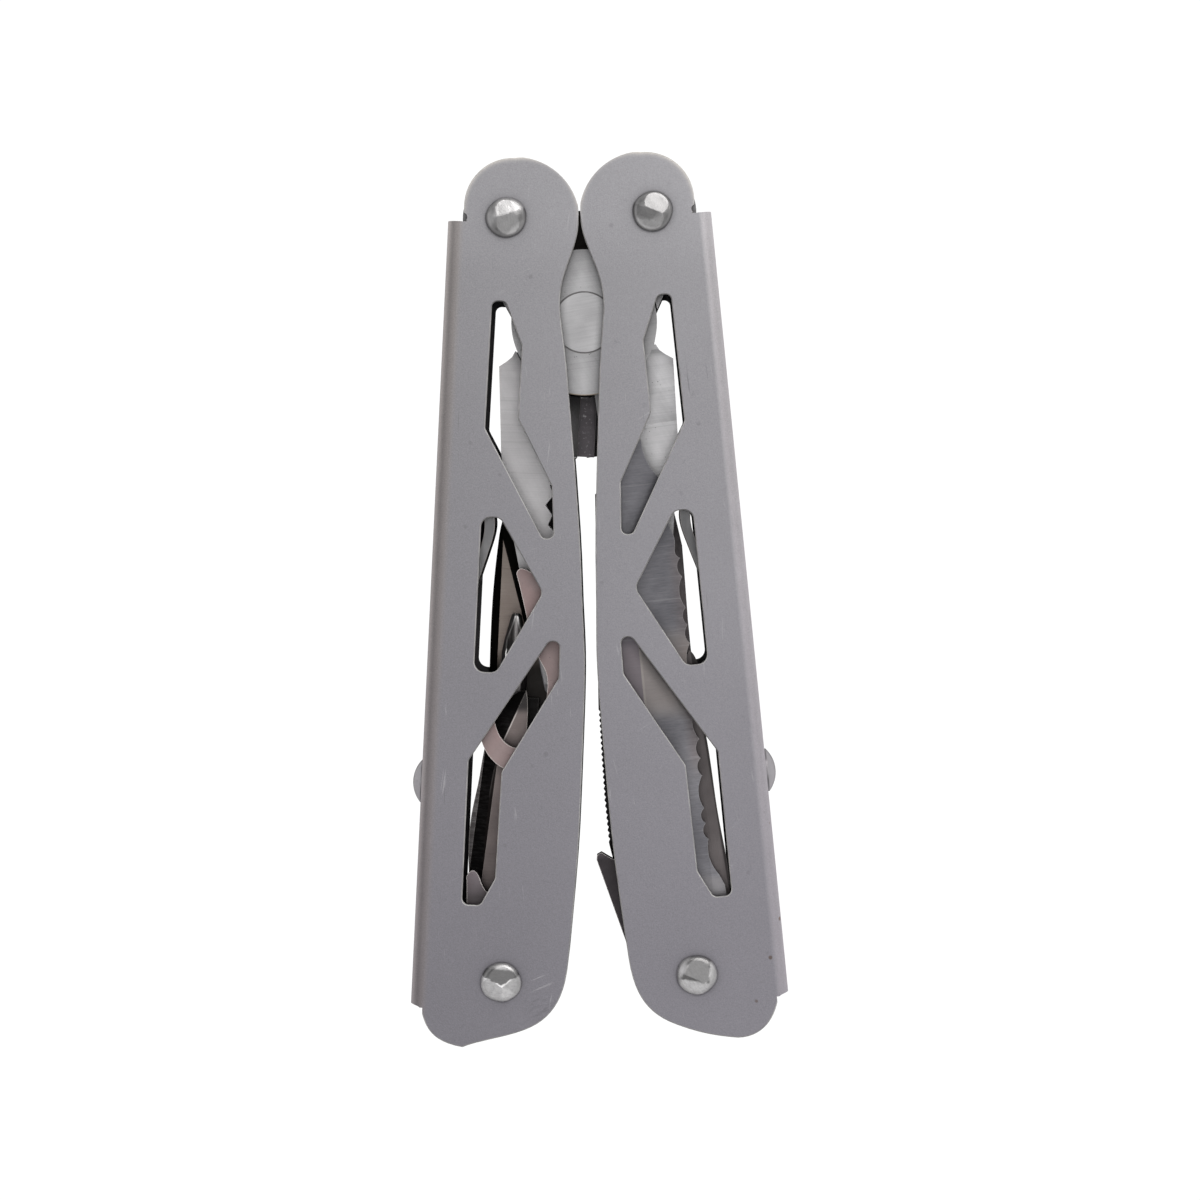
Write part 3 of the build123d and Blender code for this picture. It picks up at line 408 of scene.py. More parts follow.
# ----------------------------------------------------------------------------
# Ground, brushed and tumbled steels: grain lines run along one direction
# ----------------------------------------------------------------------------
def lined_steel(name, dark, light, turn, line, line_amount, rough, seed, floor_tone,
                metallic=0.85, ao_mm=3.0, ao_power=1.6, pits=0.0, rim_amount=0.5,
                rim_highlight_color=(0.78, 0.77, 0.75), cross=0.0, facet_tone=0.42, extra=None, lift=1.0):
    """Steel with grain lines.

    dark, light: tones of the cloudy ground, both multiplied by lift
    turn: degrees the pattern is turned; line: noise scale along and across the lines
    line_amount, cross, pits, rim_amount: strength of lines, crossing lines, pits, painted edge
    highlights
    facet_tone, floor_tone: gain of the painted shade on sloping faces and in hollows
    ao_mm, ao_power: reach and steepness of the hollow shading
    seed: shifts the patterns; extra: function (graph, color, p) adding the piece's own marks
    """
    g = Graph(name)
    dark, light = scaled(dark, lift), scaled(light, lift)
    along, over = line
    p = g.coords(shift=(seed, seed * 1.7, seed * 0.6))
    lines = g.coords(turn=turn, scale=(along, over, over), shift=(seed * 2.1, seed, 0))
    coarse = g.noise(lines, scale=1.0, detail=3.0, rough=0.62)
    fine = g.noise(lines, scale=3.1)
    long_lines = g.coords(turn=turn, scale=(along * 0.25, over * 0.8, 1.0), shift=(seed, 3.3, 0))
    deep = g.noise(long_lines, scale=1.0).ramp(start=0.62, end=0.74)
    cloud = g.noise(p, scale=0.12, detail=3.0, rough=0.55)
    speck = g.noise(p, scale=4.5, rough=0.6)
    terms = [(coarse, line_amount), (fine, line_amount * 0.6), (cloud, 0.18), (speck, 0.10)]
    if cross:
        crossing = g.coords(turn=turn + 62, scale=(along * 2, over * 0.8, 1), shift=(2, seed, 0))
        terms.append((g.noise(crossing, scale=1.0), cross))
    color = g.vary(g.mix(cloud.ramp(start=0.3, end=0.7), dark, light), *terms)
    color = g.mix(deep * 0.22, color, scaled(dark, 0.45))
    if pits:
        dots = g.voronoi(p, scale=1.9).ramp(start=0.16, end=0.07)
        dots = dots * g.noise(p, scale=0.5).ramp(start=0.5, end=0.62)
        color = g.mix(dots * pits, color, scaled(dark, 0.2))
    # Painted shade: sloping facets are scaled by facet_tone, side walls are darker still
    flat = abs(g.normal("Z"))
    color = g.mix(flat.ramp(start=0.993, end=0.94), color, g.tint(color, facet_tone))
    color = g.mix(flat.ramp(start=0.35, end=0.1) * 0.75, color, g.tint(color, 0.2))
    if extra is not None:
        color = extra(g, color, p)
    # Painted highlight along the edges
    rim = g.edge(radius_mm=0.16, start=0.015, end=0.14) * flat.ramp(start=0.3, end=0.6)
    color = g.mix(rim * rim_amount, color, rim_highlight_color)
    color = g.shadowed(color, ao_mm, ao_power, floor_tone)
    height = coarse * 0.7 + fine * 0.3 - deep * 0.5
    return g.finish(color, g.roughness(rough, (coarse, 0.20), (cloud, 0.12)), metallic,
                    g.bump(height, strength=0.30, depth_mm=0.035), aniso=0.35)


def hammered_steel(name, seed, center, tones, ground):
    """Peened rivet heads: each hammered flat gets a grey of painted light or shade, plus smeared
    marks and fine dents.
    """
    g = Graph(name)
    p = g.coords(turn=20 + 31 * seed, shift=(seed * 5.1, seed * 2.3, 0))
    smear_lines = g.coords(turn=35 + 50 * seed, scale=(0.9, 3.6, 1), shift=(seed, 0, 0))
    smear = g.noise(smear_lines, scale=1.6, detail=4.0, rough=0.65)
    mottle = g.noise(p, scale=2.2, detail=4.0, rough=0.65)
    dents = g.noise(p, scale=5.0, detail=3.0, rough=0.7).ramp(start=0.58, end=0.75)
    x = g.axis("X") - center[0]
    y = g.axis("Y") - center[1]
    wobble = (g.noise(p, scale=1.1) - 0.5) * 0.5
    value = ground
    for toward_x, toward_y, offset, tone, soft in tones:
        past = x * toward_x + y * toward_y + wobble - offset
        mask = past.ramp(start=-soft, end=soft)
        value = value * (1.0 - mask) + mask * tone
    grey = g.node("CombineColor", {0: value, 1: value * 0.985, 2: value * 0.985})
    color = g.vary(grey.outputs[0], (smear, 0.5), (mottle, 0.45))
    color = g.mix(dents * 0.35, color, (0.10, 0.10, 0.11))
    # Lighter ring all round the shoulder
    ring = (length(x, y) + wobble * 0.35).band(start=1.86, end=2.2, soft=0.12)
    color = g.mix(ring * 0.35, color, (0.50, 0.49, 0.49))
    color = g.shadowed(color, reach_mm=1.0, power=1.6, floor_tone=0.22)
    return g.finish(color, g.roughness(0.36, (mottle, 0.25), (smear, 0.2)), metallic=0.8,
                    normal=g.bump(smear * 0.6 + mottle * 0.8, strength=0.4, depth_mm=0.05))


def file_steel(name):
    """Dark file face: two crossing rows of cut teeth."""
    g = Graph(name)
    rows = []
    # Degrees from the handle's length, pitch in mm
    for angle, pitch in ((25, 0.55), (-40, 0.7)):
        turned = g.coords(turn=angle - HANDLE_TILT)
        rows.append((g.component(turned, "Y") / pitch).fract())
    teeth = rows[0].min(rows[1])
    mottle = g.noise(g.coords(), scale=1.4, detail=4.0, rough=0.6)
    color = g.mix(teeth, (0.075, 0.07, 0.073), (0.16, 0.15, 0.155))
    # Smooth face, and painted shade: a near black edge on the side towards the left handle
    across = g.across("right")
    brushed = g.noise(g.coords(turn=-HANDLE_TILT, scale=(3.0, 0.2, 1)), scale=1.0)
    plain = g.mix(brushed.ramp(start=0.3, end=0.7), (0.150, 0.132, 0.136), (0.195, 0.175, 0.180))
    color = g.mix(across.ramp(start=9.7, end=9.3), color, g.tint(plain, NEUTRAL))
    color = g.mix(across.ramp(start=10.2, end=10.7), color, (0.022, 0.02, 0.021))
    teeth = teeth * across.ramp(start=9.3, end=9.7)
    color = g.vary(color, (mottle, 0.5))
    color = g.shadowed(color, reach_mm=2.5, power=1.2, floor_tone=0.25)
    return g.finish(color, g.roughness(0.42, (mottle, 0.2)), metallic=0.8,
                    normal=g.bump(teeth, strength=0.6, depth_mm=0.12))


# ----------------------------------------------------------------------------
# Marks that belong to single pieces
# ----------------------------------------------------------------------------
def slot_shadow(g, color, p):
    """Painted shade in the dark places of the plier jaws, and their seams."""
    y, x = g.axis("Y"), g.axis("X")
    # Rough cast web low in the throat: cast speckles over painted shade, darker towards +X
    web = g.axis("Z").ramp(start=9.6, end=9.2) * (
        y.ramp(start=24.2, end=23.6) * x.band(start=-4.6, end=4.6, soft=0.2))
    speck = g.noise(p, scale=2.6, detail=4.0, rough=0.7).ramp(start=0.56, end=0.72)
    speck = speck * x.ramp(start=0.9, end=0.6)
    cast = g.mix(speck, (0.118, 0.106, 0.115), (0.36, 0.35, 0.355))
    cast = g.tint(cast, x.ramp(start=0.9, end=1.2, low=1.0, high=0.58))
    color = g.mix(web, color, cast)
    # Deep between the two heads: painted shade, black with a touch of brown
    throat = g.axis("Z").ramp(start=9.4, end=9.0) * (
        y.ramp(start=39.6, end=40.2) * x.band(start=-3.5, end=3.5, soft=0.2))
    color = g.mix(throat, color, (0.016, 0.012, 0.010))
    # Seam round the pivot pin
    seam = (distance(x, y, PLIER_PIVOT).ramp(start=3.66, end=3.54)
            * g.axis("Z").ramp(start=13.0, end=13.6))
    color = g.mix(seam * 0.75, color, (0.06, 0.055, 0.055))
    # Blind gaps of the grip teeth: painted shade, near black
    blind = g.axis("Z").band(start=6.3, end=7.2, soft=0.1) * (
        y.band(start=3.0, end=18.5, soft=0.3) * g.normal("Z").ramp(start=0.6, end=0.9))
    color = g.mix(blind, color, (0.02, 0.018, 0.018))
    # Brownish line along the lap edge
    lap = distance(x, y, PLIER_PIVOT).ramp(start=8.26, end=8.36) * y.ramp(start=25.0, end=24.0)
    lap = lap * g.axis("Z").ramp(start=13.0, end=13.6)
    return g.mix(lap * 0.8, color, (0.24, 0.17, 0.085))


def front_jaw(g, color, p):
    """Painted light: the falling face of the front jaw is brightened against its own shading."""
    color = slot_shadow(g, color, p)
    face = g.axis("Y").ramp(start=28.6, end=27.6) * g.axis("Z").ramp(start=10.4, end=10.8)
    face = face * g.axis("X").ramp(start=4.6, end=5.2)
    slope = g.normal("Z").ramp(start=0.995, end=0.975, low=1.38, high=1.86, smooth=False)
    shade = slope * g.axis("X").ramp(start=8.6, end=6.2, low=1.0, high=0.86)
    return g.mix(face, color, g.tint(color, shade))


def pin_seam(g, color, p):
    """Broken dark line round the rim of the pivot pin."""
    rim = distance(g.axis("X"), g.axis("Y"), PLIER_PIVOT).ramp(start=3.36, end=3.46)
    line = rim * g.noise(p, scale=0.7).ramp(start=0.25, end=0.55, low=0.55, high=1.0)
    return g.mix(line * 0.8, color, (0.07, 0.065, 0.065))


def knife_shade(g, color, p):
    """Painted shade over the deep part of the channel, under the other tools."""
    y = g.axis("Y")
    color = g.mix(y.ramp(start=-5.5, end=-8.5), color, g.tint(color, 0.07))
    across, along = g.across("left"), g.along("left")
    # A bright sliver of the back of the blade, between two dark tools
    line = across + along * 0.2665
    glint = line.ramp(start=-7.69, end=-7.60) * along.band(start=-54.6, end=-51.0, soft=0.15)
    return g.mix(glint * 0.9, color, (0.34, 0.325, 0.355))


def awl_faces(g, color, p):
    """Two ground faces meet in a ridge: one brown, one dark with painted shade."""
    across, along = g.across("left"), g.along("left")
    up = g.normal("Z").ramp(start=0.3, end=0.6)
    # Ridge of the long lower face, slightly bowed, then of the short one towards the point
    bow = along.ramp(start=-60.5, end=-66.5) * along.ramp(start=-78.0, end=-69.0)
    low = across - (7.07 + along * 0.0830) + bow * 0.36
    high = across - (27.0 + along * 0.4067)
    low_side = low.ramp(start=0.04, end=-0.04).min(along.ramp(start=-60.6, end=-61.2))
    high_side = high.ramp(start=0.04, end=-0.04).min(along.ramp(start=-61.8, end=-61.0))
    side = low_side.max(high_side)
    cuts = g.noise(g.coords(turn=HANDLE_TILT, scale=(0.35, 3.4, 1)),
                   scale=1.0, detail=3.0, rough=0.6)
    dark = g.mix(cuts.ramp(start=0.42, end=0.66), (0.050, 0.045, 0.045), (0.105, 0.098, 0.098))
    facing = g.normal("Z").ramp(start=0.0, end=0.12)
    color = g.mix(side * facing, color, g.tint(dark, NEUTRAL))
    # Painted shade: both faces darken towards the point
    color = g.mix(along.ramp(start=-57.3, end=-56.2) * up, color, (0.030, 0.027, 0.027))
    # Painted highlight: bright ridge between the two
    low_ridge = (abs(low).ramp(start=0.10, end=0.03)
                 * along.band(start=-66.5, end=-60.9, soft=0.8))
    high_ridge = (abs(high).ramp(start=0.12, end=0.04)
                  * along.band(start=-61.2, end=-57.0, soft=0.6))
    ridge = low_ridge.max(high_ridge) * up
    color = g.mix(ridge * 0.75, color, (0.50, 0.46, 0.44))
    heel = along.ramp(start=-66.0, end=-78.0) * 0.36
    return g.mix(heel, color, g.tint(color, 0.3))


def driver_side(g, color, p):
    """Narrow driver: its outer border lies in shadow."""
    across, along = g.across("right"), g.along("right")
    line = across - (3.46 + along * 0.0612)
    border = line.ramp(start=0.38, end=0.22) * g.normal("Z").ramp(start=0.3, end=0.6)
    color = g.mix(border * 0.85, color, (0.022, 0.019, 0.019))
    return g.tint(color, along.ramp(start=-64.0, end=-71.0, low=0.94, high=1.12))


def cross_tip(g, color, p):
    """Cross point: painted highlights along the edges of the flutes and on the ridge."""
    across, along = g.across("left"), g.along("left")
    # Distance from the driver's own axis, in plan
    off = abs(across - (3.967 + along * 0.01645))
    point = along.ramp(start=-54.0, end=-52.5)
    reach = along.ramp(start=-49.2, end=-45.4, low=0.93, high=0.12)
    wing_highlight = abs(off - reach).ramp(start=0.13, end=0.05)
    facing = g.normal("Z").ramp(start=0.1, end=0.3)
    color = g.mix(wing_highlight * point * facing, color, (0.92, 0.90, 0.88))
    ridge = off.ramp(start=0.16, end=0.04)
    return g.mix(ridge * point * 0.5, color, (0.42, 0.41, 0.40))


def serrated_tints(g, color, p):
    """Warm upper flat and heel, cooler back, light crest and streaks."""
    y = g.axis("Y")
    warm = y.band(start=-13.0, end=-5.0, soft=1.5) * 0.85
    color = g.mix(warm, color, g.filter(color, (1.0, 0.86, 0.76)))
    heel = g.across("right").ramp(start=2.6, end=1.0) * y.band(start=-20, end=6, soft=2.0)
    color = g.mix(heel * 0.7, color, g.filter(color, (1.0, 0.88, 0.82)))
    pale = y.band(start=-13.5, end=-4.0, soft=1.0) * 0.42
    color = g.mix(pale, color, (0.30, 0.28, 0.27))
    across = g.across("right")
    back = across.ramp(start=6.52, end=6.60) * y.ramp(start=-2.0, end=-4.0)
    color = g.mix(back, color, g.filter(g.tint(color, 0.66), (1.0, 0.965, 1.08)))
    crest = across.band(start=6.30, end=6.56, soft=0.05) * y.ramp(start=-2.0, end=-4.0)
    color = g.mix(crest * 0.45, color, (0.30, 0.275, 0.26))
    streaks = g.coords(turn=-HANDLE_TILT, scale=(0.03, 2.3, 1), shift=(3, 1.4, 0))
    streak = g.noise(streaks, scale=1.0, rough=0.6).ramp(start=0.60, end=0.74)
    color = g.mix(streak * 0.24, color, (0.34, 0.33, 0.34))
    color = g.tint(color, y.ramp(start=-15.0, end=-22.0, low=1.0, high=1.20))
    # Painted highlight on the ricasso
    ricasso_highlight = y.ramp(start=-31.9, end=-33.0) * 0.22
    return g.mix(ricasso_highlight, color, (0.46, 0.43, 0.42))


def opener_specks(g, color, p):
    """Brown specks and a reddish blush."""
    dots = g.voronoi(g.coords(shift=(2, 5, 0)), scale=1.7).ramp(start=0.16, end=0.08)
    dots = dots * g.noise(p, scale=0.6).ramp(start=0.48, end=0.6)
    color = g.mix(dots * 0.4, color, (0.11, 0.08, 0.08))
    blush = g.noise(p, scale=0.35).ramp(start=0.4, end=0.65)
    color = g.mix(blush * 0.35, color, g.filter(color, (1.08, 0.90, 0.88)))
    # The lifting tab at the heel is greyer and darkens towards -Y
    tab = g.axis("Y").ramp(start=-27.0, end=-29.0)
    fall = g.axis("Y").ramp(start=-31.0, end=-34.0, low=1.62, high=0.50, smooth=False)
    return g.mix(tab * 0.95, color, g.filter(g.tint(color, fall), (0.46, 0.52, 0.575)))


def hook_tones(g, color, p):
    """Hook with painted light: a highlight at its +Y end, painted shade towards -Y."""
    return g.tint(color, g.axis("Y").ramp(start=-29.7, end=-30.7, low=1.65, high=0.76))


# ----------------------------------------------------------------------------
# The steel of each piece
# ----------------------------------------------------------------------------
PLIER = dict(line_amount=0.36, rough=0.40, metallic=0.7, rim_amount=0.25, ao_mm=2.0,
             ao_power=1.2, floor_tone=0.18, rim_highlight_color=(0.5, 0.49, 0.47), facet_tone=0.92)
SPRING = dict(turn=90.0, line=(0.2, 3.0), line_amount=0.25, rough=0.36, metallic=0.7,
              rim_amount=0.55, rim_highlight_color=(0.36, 0.32, 0.29), ao_mm=1.2, floor_tone=0.3)
STEELS = {
    "left_handle_shell": handle_steel("handle_steel_left", "left"),
    "right_handle_shell": handle_steel("handle_steel_right", "right"),
    "plier_jaw_front": lined_steel(
        "jaw_front_steel", dark=(0.33, 0.325, 0.33), light=(0.44, 0.435, 0.44), turn=-6.0,
        line=(0.09, 3.4), pits=0.8, seed=1.3, cross=0.14, extra=front_jaw, **PLIER),
    "plier_jaw_rear": lined_steel(
        "jaw_rear_steel", dark=(0.34, 0.33, 0.335), light=(0.45, 0.44, 0.445), turn=3.0,
        line=(0.10, 4.2), seed=4.1, cross=0.12, extra=slot_shadow, lift=1.08, **PLIER),
    "plier_pivot_pin": lined_steel(
        "pin_steel", dark=(0.35, 0.345, 0.35), light=(0.46, 0.455, 0.46), turn=-9.0,
        line=(0.10, 3.2), seed=7.7, extra=pin_seam, lift=1.06,
        **(PLIER | {"rim_amount": 0.0, "ao_mm": 1.0})),
    "serrated_knife": lined_steel(
        "serrated_steel", dark=(0.121, 0.119, 0.131), light=(0.188, 0.185, 0.199),
        turn=-HANDLE_TILT, line=(0.11, 3.6), line_amount=0.68, rough=0.38, metallic=0.75,
        seed=2.9, cross=0.10, rim_amount=0.35, rim_highlight_color=(0.5, 0.49, 0.48), ao_mm=1.5,
        ao_power=1.0, floor_tone=0.35, facet_tone=0.98, extra=serrated_tints),
    "knife_blade": lined_steel(
        "knife_steel", dark=(0.26, 0.215, 0.19), light=(0.37, 0.315, 0.28), turn=HANDLE_TILT,
        line=(0.12, 3.2), line_amount=0.30, rough=0.42, metallic=0.6, seed=3.7, pits=0.4,
        rim_amount=0.0, ao_mm=1.5, ao_power=0.8, floor_tone=0.4, facet_tone=0.06,
        extra=knife_shade, lift=1.25),
    "bottle_opener": lined_steel(
        "opener_steel", dark=(0.235, 0.18, 0.175), light=(0.31, 0.24, 0.235), turn=60.0,
        line=(0.9, 1.4), line_amount=0.18, rough=0.42, metallic=0.65, seed=5.9, pits=0.5,
        rim_amount=0.9, rim_highlight_color=(0.92, 0.87, 0.83), ao_mm=1.5, ao_power=0.9,
        floor_tone=0.35, extra=opener_specks),
    "reamer_awl": lined_steel(
        "awl_steel", dark=(0.098, 0.081, 0.079), light=(0.165, 0.137, 0.131), turn=4.0,
        line=(0.16, 2.6), line_amount=0.35, rough=0.34, metallic=0.8, seed=6.3,
        rim_amount=0.55, rim_highlight_color=(0.5, 0.46, 0.43), ao_mm=1.5, floor_tone=0.3,
        facet_tone=0.8, extra=awl_faces),
    "phillips_screwdriver": lined_steel(
        "cross_driver_steel", dark=(0.215, 0.200, 0.200), light=(0.385, 0.362, 0.362),
        turn=88.0, line=(0.2, 3.0), line_amount=0.25, rough=0.36, seed=8.1, extra=cross_tip,
        rim_amount=0.0, ao_mm=1.5, floor_tone=0.3, facet_tone=0.9),
    # Near black: painted shade of the deep channel, with edge highlights
    "small_screwdriver": lined_steel(
        "small_driver_steel", dark=(0.009, 0.008, 0.008), light=(0.020, 0.018, 0.018),
        turn=4.0, line=(0.3, 3.0), line_amount=0.25, rough=0.34, seed=9.2, rim_amount=0.25,
        rim_highlight_color=(0.3, 0.28, 0.27), floor_tone=0.25),
    "wide_screwdriver": lined_steel(
        "wide_driver_steel", dark=(0.09, 0.085, 0.083), light=(0.16, 0.15, 0.145), turn=-4.0,
        line=(0.3, 3.0), line_amount=0.25, rough=0.36, seed=10.4, rim_amount=0.4,
        rim_highlight_color=(0.4, 0.38, 0.37), floor_tone=0.25),
    "narrow_screwdriver": lined_steel(
        "narrow_driver_steel", dark=(0.083, 0.073, 0.073), light=(0.147, 0.130, 0.130),
        turn=84.0, line=(0.2, 2.4), line_amount=0.25, rough=0.34, metallic=0.8, seed=11.5,
        rim_amount=0.3, rim_highlight_color=(0.40, 0.37, 0.35), ao_mm=1.5, ao_power=1.0,
        floor_tone=0.35, facet_tone=0.7, extra=driver_side, lift=0.85),
    "can_opener": lined_steel(
        "can_opener_steel", dark=(0.045, 0.039, 0.043), light=(0.078, 0.067, 0.073),
        turn=-30.0, line=(0.5, 1.8), line_amount=0.16, rough=0.42, metallic=0.7, seed=12.6,
        pits=0.3, rim_amount=0.95, rim_highlight_color=(0.80, 0.76, 0.73), ao_mm=1.2, ao_power=1.0,
        floor_tone=0.35, extra=hook_tones),
    "metal_file": file_steel("file_steel"),
    "left_back_spring": lined_steel(
        "spring_steel_left", dark=(0.15, 0.148, 0.15), light=(0.22, 0.218, 0.22), seed=13.1,
        **SPRING),
    "right_back_spring": lined_steel(
        "spring_steel_right", dark=(0.11, 0.11, 0.112), light=(0.19, 0.188, 0.19), seed=14.2,
        **SPRING),
}
washer_steel = lined_steel(
    "washer_steel", dark=(0.20, 0.20, 0.20), light=(0.32, 0.32, 0.315), turn=45.0,
    line=(0.8, 1.6), line_amount=0.18, rough=0.3, seed=15.0, floor_tone=0.25)
dome_steel = lined_steel(
    "dome_steel", dark=(0.375, 0.360, 0.380), light=(0.50, 0.482, 0.505), turn=12.0,
    line=(1.1, 1.3), line_amount=0.14, rough=0.42, metallic=0.7, seed=16.0,
    rim_amount=0.2, floor_tone=0.35, ao_mm=1.0, facet_tone=1.0)
for side in SIDE_SIGN:
    STEELS[side + "_pivot_washers"] = washer_steel
    STEELS[side + "_tool_washers"] = washer_steel
    STEELS[side + "_spring_rivet"] = dome_steel
for name, obj in nodes.items():
    if name in STEELS:
        obj.data.materials.clear()
        obj.data.materials.append(STEELS[name])


# ----------------------------------------------------------------------------
# The four main rivets: hand peened top heads with flats hammered on the dome
# ----------------------------------------------------------------------------
RIVET_SEGMENTS = 96
DOME_RINGS = 30
HEAD_DEPTH = 1.1  # mm, at both ends
HANDLE_SHANK = 1.8  # radius, mm
TOOL_SHANK = 1.6  # radius, mm

# node, body, shank radius, grey of the ground,
# flats: slope in x, slope in y, height above the plate at the centre (mm)
# tones (painted light and shade on the flats): direction x, y, offset along it (mm), grey past
# it, softness of the border
RIVETS = [
    ("left_handle_rivet", "left_handle", HANDLE_SHANK, 0.26,
     [(0.05, -0.16, 0.93), (-0.02, 0.20, 1.0)],
     [(-0.25, 0.97, 0.40, 0.60, 0.18), (-0.9, 0.1, 1.2, 0.34, 0.3),
      (0.6, -0.8, 1.4, 0.38, 0.3)]),
    ("right_handle_rivet", "right_handle", HANDLE_SHANK, 0.175,
     [(-0.08, -0.20, 0.90), (0.10, 0.20, 0.97)],
     [(0.36, 0.93, 0.15, 0.33, 0.10), (-0.2, -1.0, 1.0, 0.32, 0.25),
      (0.85, -0.5, 0.75, 0.31, 0.55)]),
    ("left_tool_rivet", "left_handle", TOOL_SHANK, 0.15,
     [(0.03, 0.06, 0.80), (-0.20, -0.24, 0.95), (0.24, -0.2, 0.98)],
     [(0.45, -0.9, 0.25, 0.76, 0.1), (-0.5, -0.87, 0.3, 0.92, 0.1),
      (0.2, 1.0, 1.55, 0.50, 0.2)]),
    ("right_tool_rivet", "right_handle", TOOL_SHANK, 0.235,
     [(0.02, 0.05, 0.82), (-0.12, -0.26, 0.97)],
     [(-0.15, -1.0, 0.75, 0.95, 0.15), (1.0, -0.1, 1.5, 0.80, 0.2),
      (-0.9, 0.4, 1.5, 0.58, 0.3)]),
]


def mesh_object(name, bm):
    mesh = bpy.data.meshes.new(name)
    bm.to_mesh(mesh)
    bm.free()
    obj = bpy.data.objects.new(name, mesh)
    scene.collection.objects.link(obj)
    return obj


def close_rivet(bm, apex, rings, base):
    """Faces over the rings, from the apex down to the base."""
    for j in range(RIVET_SEGMENTS):
        bm.faces.new((apex, rings[0][j], rings[0][(j + 1) % RIVET_SEGMENTS]))
    for upper, lower in zip(rings, rings[1:]):
        for j in range(RIVET_SEGMENTS):
            k = (j + 1) % RIVET_SEGMENTS
            bm.faces.new((upper[j], lower[j], lower[k], upper[k]))
    for j in range(RIVET_SEGMENTS):
        bm.faces.new((rings[-1][(j + 1) % RIVET_SEGMENTS], rings[-1][j], base))
    bmesh.ops.recalc_face_normals(bm, faces=bm.faces)


def rivet_mesh(center, radius, top, bottom, shank, flats, seed):
    """Hammered dome, shank and plain lower head, all in mm."""
    plate = top - HEAD_DEPTH
    rng = random.Random(seed)
    phase = [rng.uniform(0, 6.28) for _ in range(4)]
    angles = [2 * math.pi * j / RIVET_SEGMENTS for j in range(RIVET_SEGMENTS)]
    bm = bmesh.new()

    def outline(a):
        """Slightly uneven rim."""
        return (1 + 0.018 * math.sin(2 * a + phase[0]) + 0.012 * math.sin(3 * a + phase[1])
                + 0.008 * math.sin(5 * a + phase[2]) - 0.02)

    def dome(x, y):
        """Height over the plate: a dome cut by the flats, with a faint ripple."""
        z = 1.04 * (1 - 0.62 * (math.hypot(x, y) / radius) ** 2.3)
        for slope_x, slope_y, height in flats:
            z = min(z, height - slope_x * x - slope_y * y)
        return z + 0.012 * math.sin(3.1 * x + phase[3]) * math.sin(2.7 * y + phase[1])

    def vertex(x, y, z):
        return bm.verts.new(((center[0] + x) * MM, (center[1] + y) * MM, z * MM))

    apex = vertex(0, 0, plate + dome(0, 0))
    rings = []
    for i in range(1, DOME_RINGS + 1):
        t = i / DOME_RINGS
        drop = 0.16 * max(0.0, (t - 0.90) / 0.10) ** 2
        ring = []
        for a in angles:
            reach = radius * outline(a) * t
            x, y = reach * math.cos(a), reach * math.sin(a)
            ring.append(vertex(x, y, plate + max(dome(x, y) - drop, 0.16)))
        rings.append(ring)

    # Radius, z, follows the uneven rim
    profile = [
        (radius * 1.003, plate + 0.10, True),
        (radius * 0.985, plate + 0.01, True),
        (shank, plate + 0.005, False),
        (shank, bottom + HEAD_DEPTH, False),
        (radius * 0.97, bottom + 1.09, False),
        (radius, bottom + 1.0, False),
        (radius, bottom + 0.42, False),
        (radius - 0.12, bottom + 0.15, False),
        (radius - 0.42, bottom, False),
        (radius * 0.55, bottom, False),
        (radius * 0.25, bottom + 0.012, False),
    ]
    for ring_radius, z, uneven in profile:
        ring = []
        for a in angles:
            reach = ring_radius * (outline(a) if uneven else 1)
            ring.append(vertex(reach * math.cos(a), reach * math.sin(a), z))
        rings.append(ring)
    base = vertex(0, 0, bottom + 0.02)
    close_rivet(bm, apex, rings, base)
    return bm


def peened_rivet(node, body, shank, ground, flats, tones, seed):
    lo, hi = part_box(node)
    name = node + "_peened"
    center = (lo.x + hi.x) / 2 / MM, (lo.y + hi.y) / 2 / MM
    radius = (hi.x - lo.x) / 2 / MM
    bm = rivet_mesh(center, radius, hi.z / MM, lo.z / MM, shank, flats, seed)
    rivet = mesh_object(name, bm)
    for polygon in rivet.data.polygons:
        polygon.use_smooth = True
    rivet.data.materials.append(hammered_steel(name + "_steel", seed, center, tones, ground))
    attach(rivet, body)
    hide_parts(node)


for seed, rivet_row in enumerate(RIVETS, start=1):
    peened_rivet(*rivet_row, seed=seed)


# ----------------------------------------------------------------------------
# Floor, world, lights and camera
# ----------------------------------------------------------------------------
def floor_material():
    """Glows white to the camera, and is plain matt to every other ray."""
    material = bpy.data.materials.new("floor_white")
    material.use_nodes = True
    tree = material.node_tree
    tree.nodes.clear()
    matt = add_node(tree, "BsdfDiffuse", {"Color": (0.9, 0.9, 0.9, 1)})
    glow = add_node(tree, "Emission", {"Color": (1, 1, 1, 1), "Strength": 1.06})
    seen = add_node(tree, "LightPath").outputs["Is Camera Ray"]
    amount = math_node(tree, "MULTIPLY", seen, NEUTRAL)
    mixed = add_node(tree, "MixShader", {0: amount, 1: matt.outputs[0], 2: glow.outputs[0]})
    add_node(tree, "OutputMaterial", {"Surface": mixed.outputs[0]})
    return material


def add_floor(half_width):
    bm = bmesh.new()
    bmesh.ops.create_grid(bm, x_segments=8, y_segments=8, size=half_width)
    floor = mesh_object("floor", bm)
    floor.data.materials.append(floor_material())


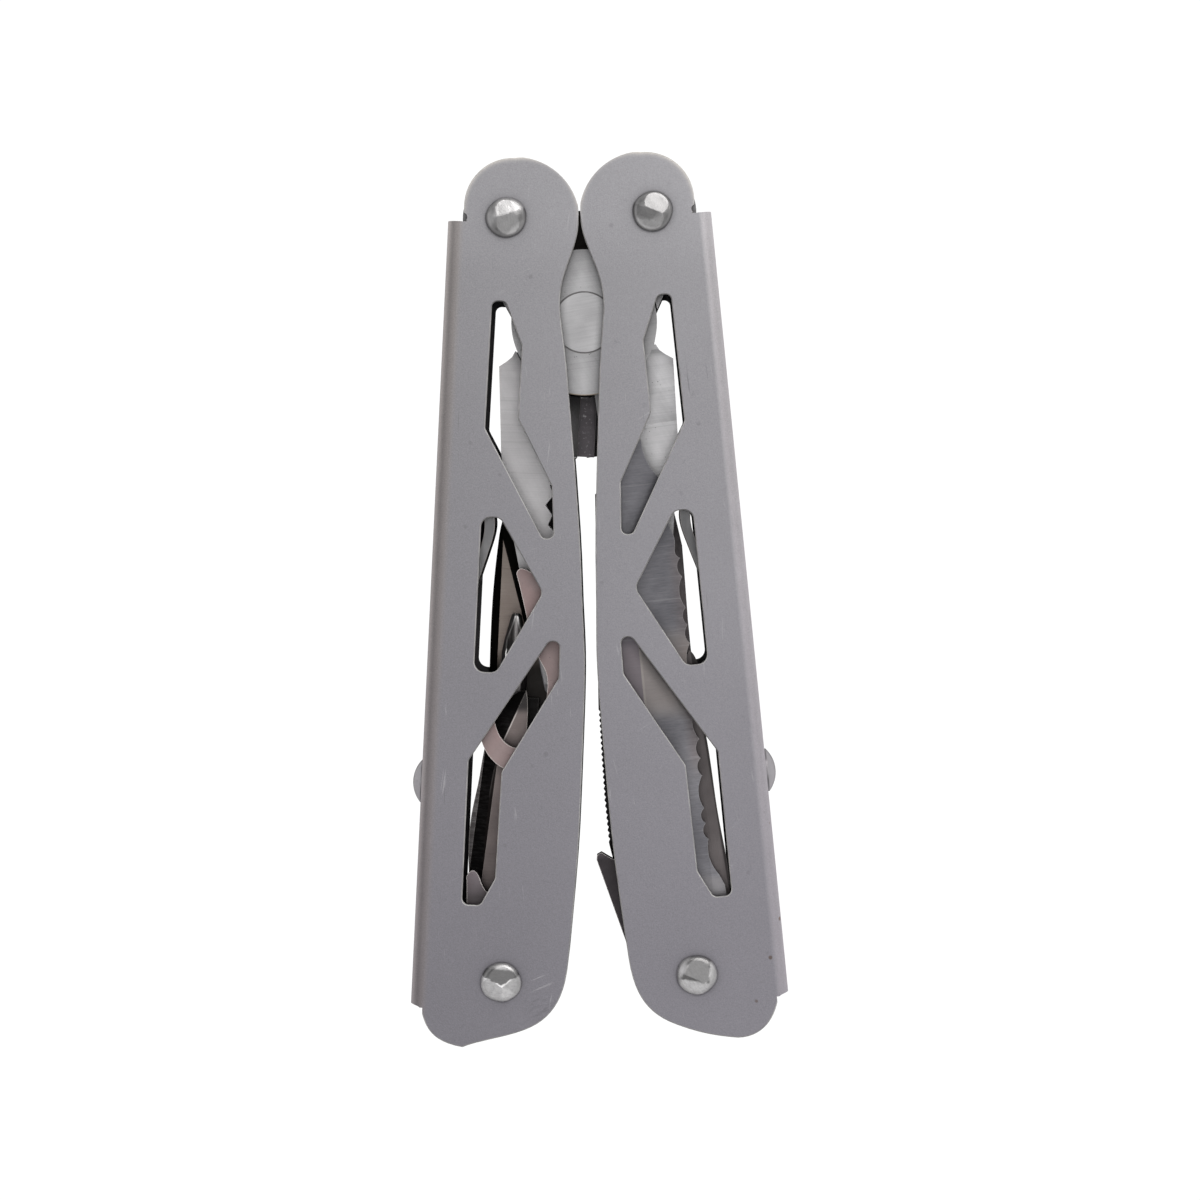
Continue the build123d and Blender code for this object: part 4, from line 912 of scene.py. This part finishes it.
def add_world(left_strength, right_strength):
    """Even sky that grows brighter from -X to +X."""
    world = bpy.data.worlds.new("studio")
    scene.world = world
    world.use_nodes = True
    tree = world.node_tree
    direction = add_node(tree, "TexCoord").outputs["Generated"]
    x = add_node(tree, "SeparateXYZ", {0: direction}).outputs["X"]
    sweep = add_node(tree, "MapRange", {"Value": x, "From Min": -1.0, "From Max": 1.0,
                                        "To Min": left_strength, "To Max": right_strength})
    sky = tree.nodes["Background"]
    put(tree, sky.inputs["Strength"], sweep.outputs[0])
    put(tree, sky.inputs["Color"], (0.99, 0.99, 1.0, 1))


def add_softbox(name, place, size, watts, color=(1, 1, 1)):
    """Rectangular light aimed at the origin."""
    data = bpy.data.lights.new(name, "AREA")
    data.shape = "RECTANGLE"
    data.size, data.size_y = size
    data.energy = watts
    data.color = color
    light = bpy.data.objects.new(name, data)
    scene.collection.objects.link(light)
    light.location = place
    light.rotation_euler = (-Vector(place)).to_track_quat("-Z", "Y").to_euler()


def add_camera(eye, aim, up, lens):
    data = bpy.data.cameras.new("camera")
    camera = bpy.data.objects.new("camera", data)
    scene.collection.objects.link(camera)
    scene.camera = camera
    data.sensor_fit = "HORIZONTAL"
    data.sensor_width = 36.0
    data.lens = lens
    data.clip_start = 0.01
    data.clip_end = 10
    back = (eye - aim).normalized()
    right = up.cross(back).normalized()
    turn = Matrix((right, back.cross(right), back)).transposed().to_4x4()
    camera.matrix_world = Matrix.Translation(eye) @ turn


scene.view_settings.view_transform = "Standard"
scene.view_settings.look = "None"
scene.view_settings.exposure = 0.0
scene.view_settings.gamma = 1.0
add_floor(half_width=1.5)
add_world(left_strength=0.26, right_strength=0.46)
add_softbox("key", place=(0.22, 0.42, 0.62), size=(0.5, 0.35), watts=2.15,
            color=(1.0, 0.99, 0.98))
add_softbox("fill", place=(-0.45, 0.05, 0.55), size=(0.4, 0.6), watts=0.55,
            color=(0.98, 0.98, 1.0))
add_softbox("top", place=(0.02, -0.05, 0.9), size=(0.5, 0.5), watts=1.05)
add_camera(eye=Vector((4.40, 11.376, 465.5)) * MM, aim=Vector((1.237, -0.042, 15.5)) * MM,
           up=Vector((0.02548, 0.99968, 0.0)), lens=117.45)
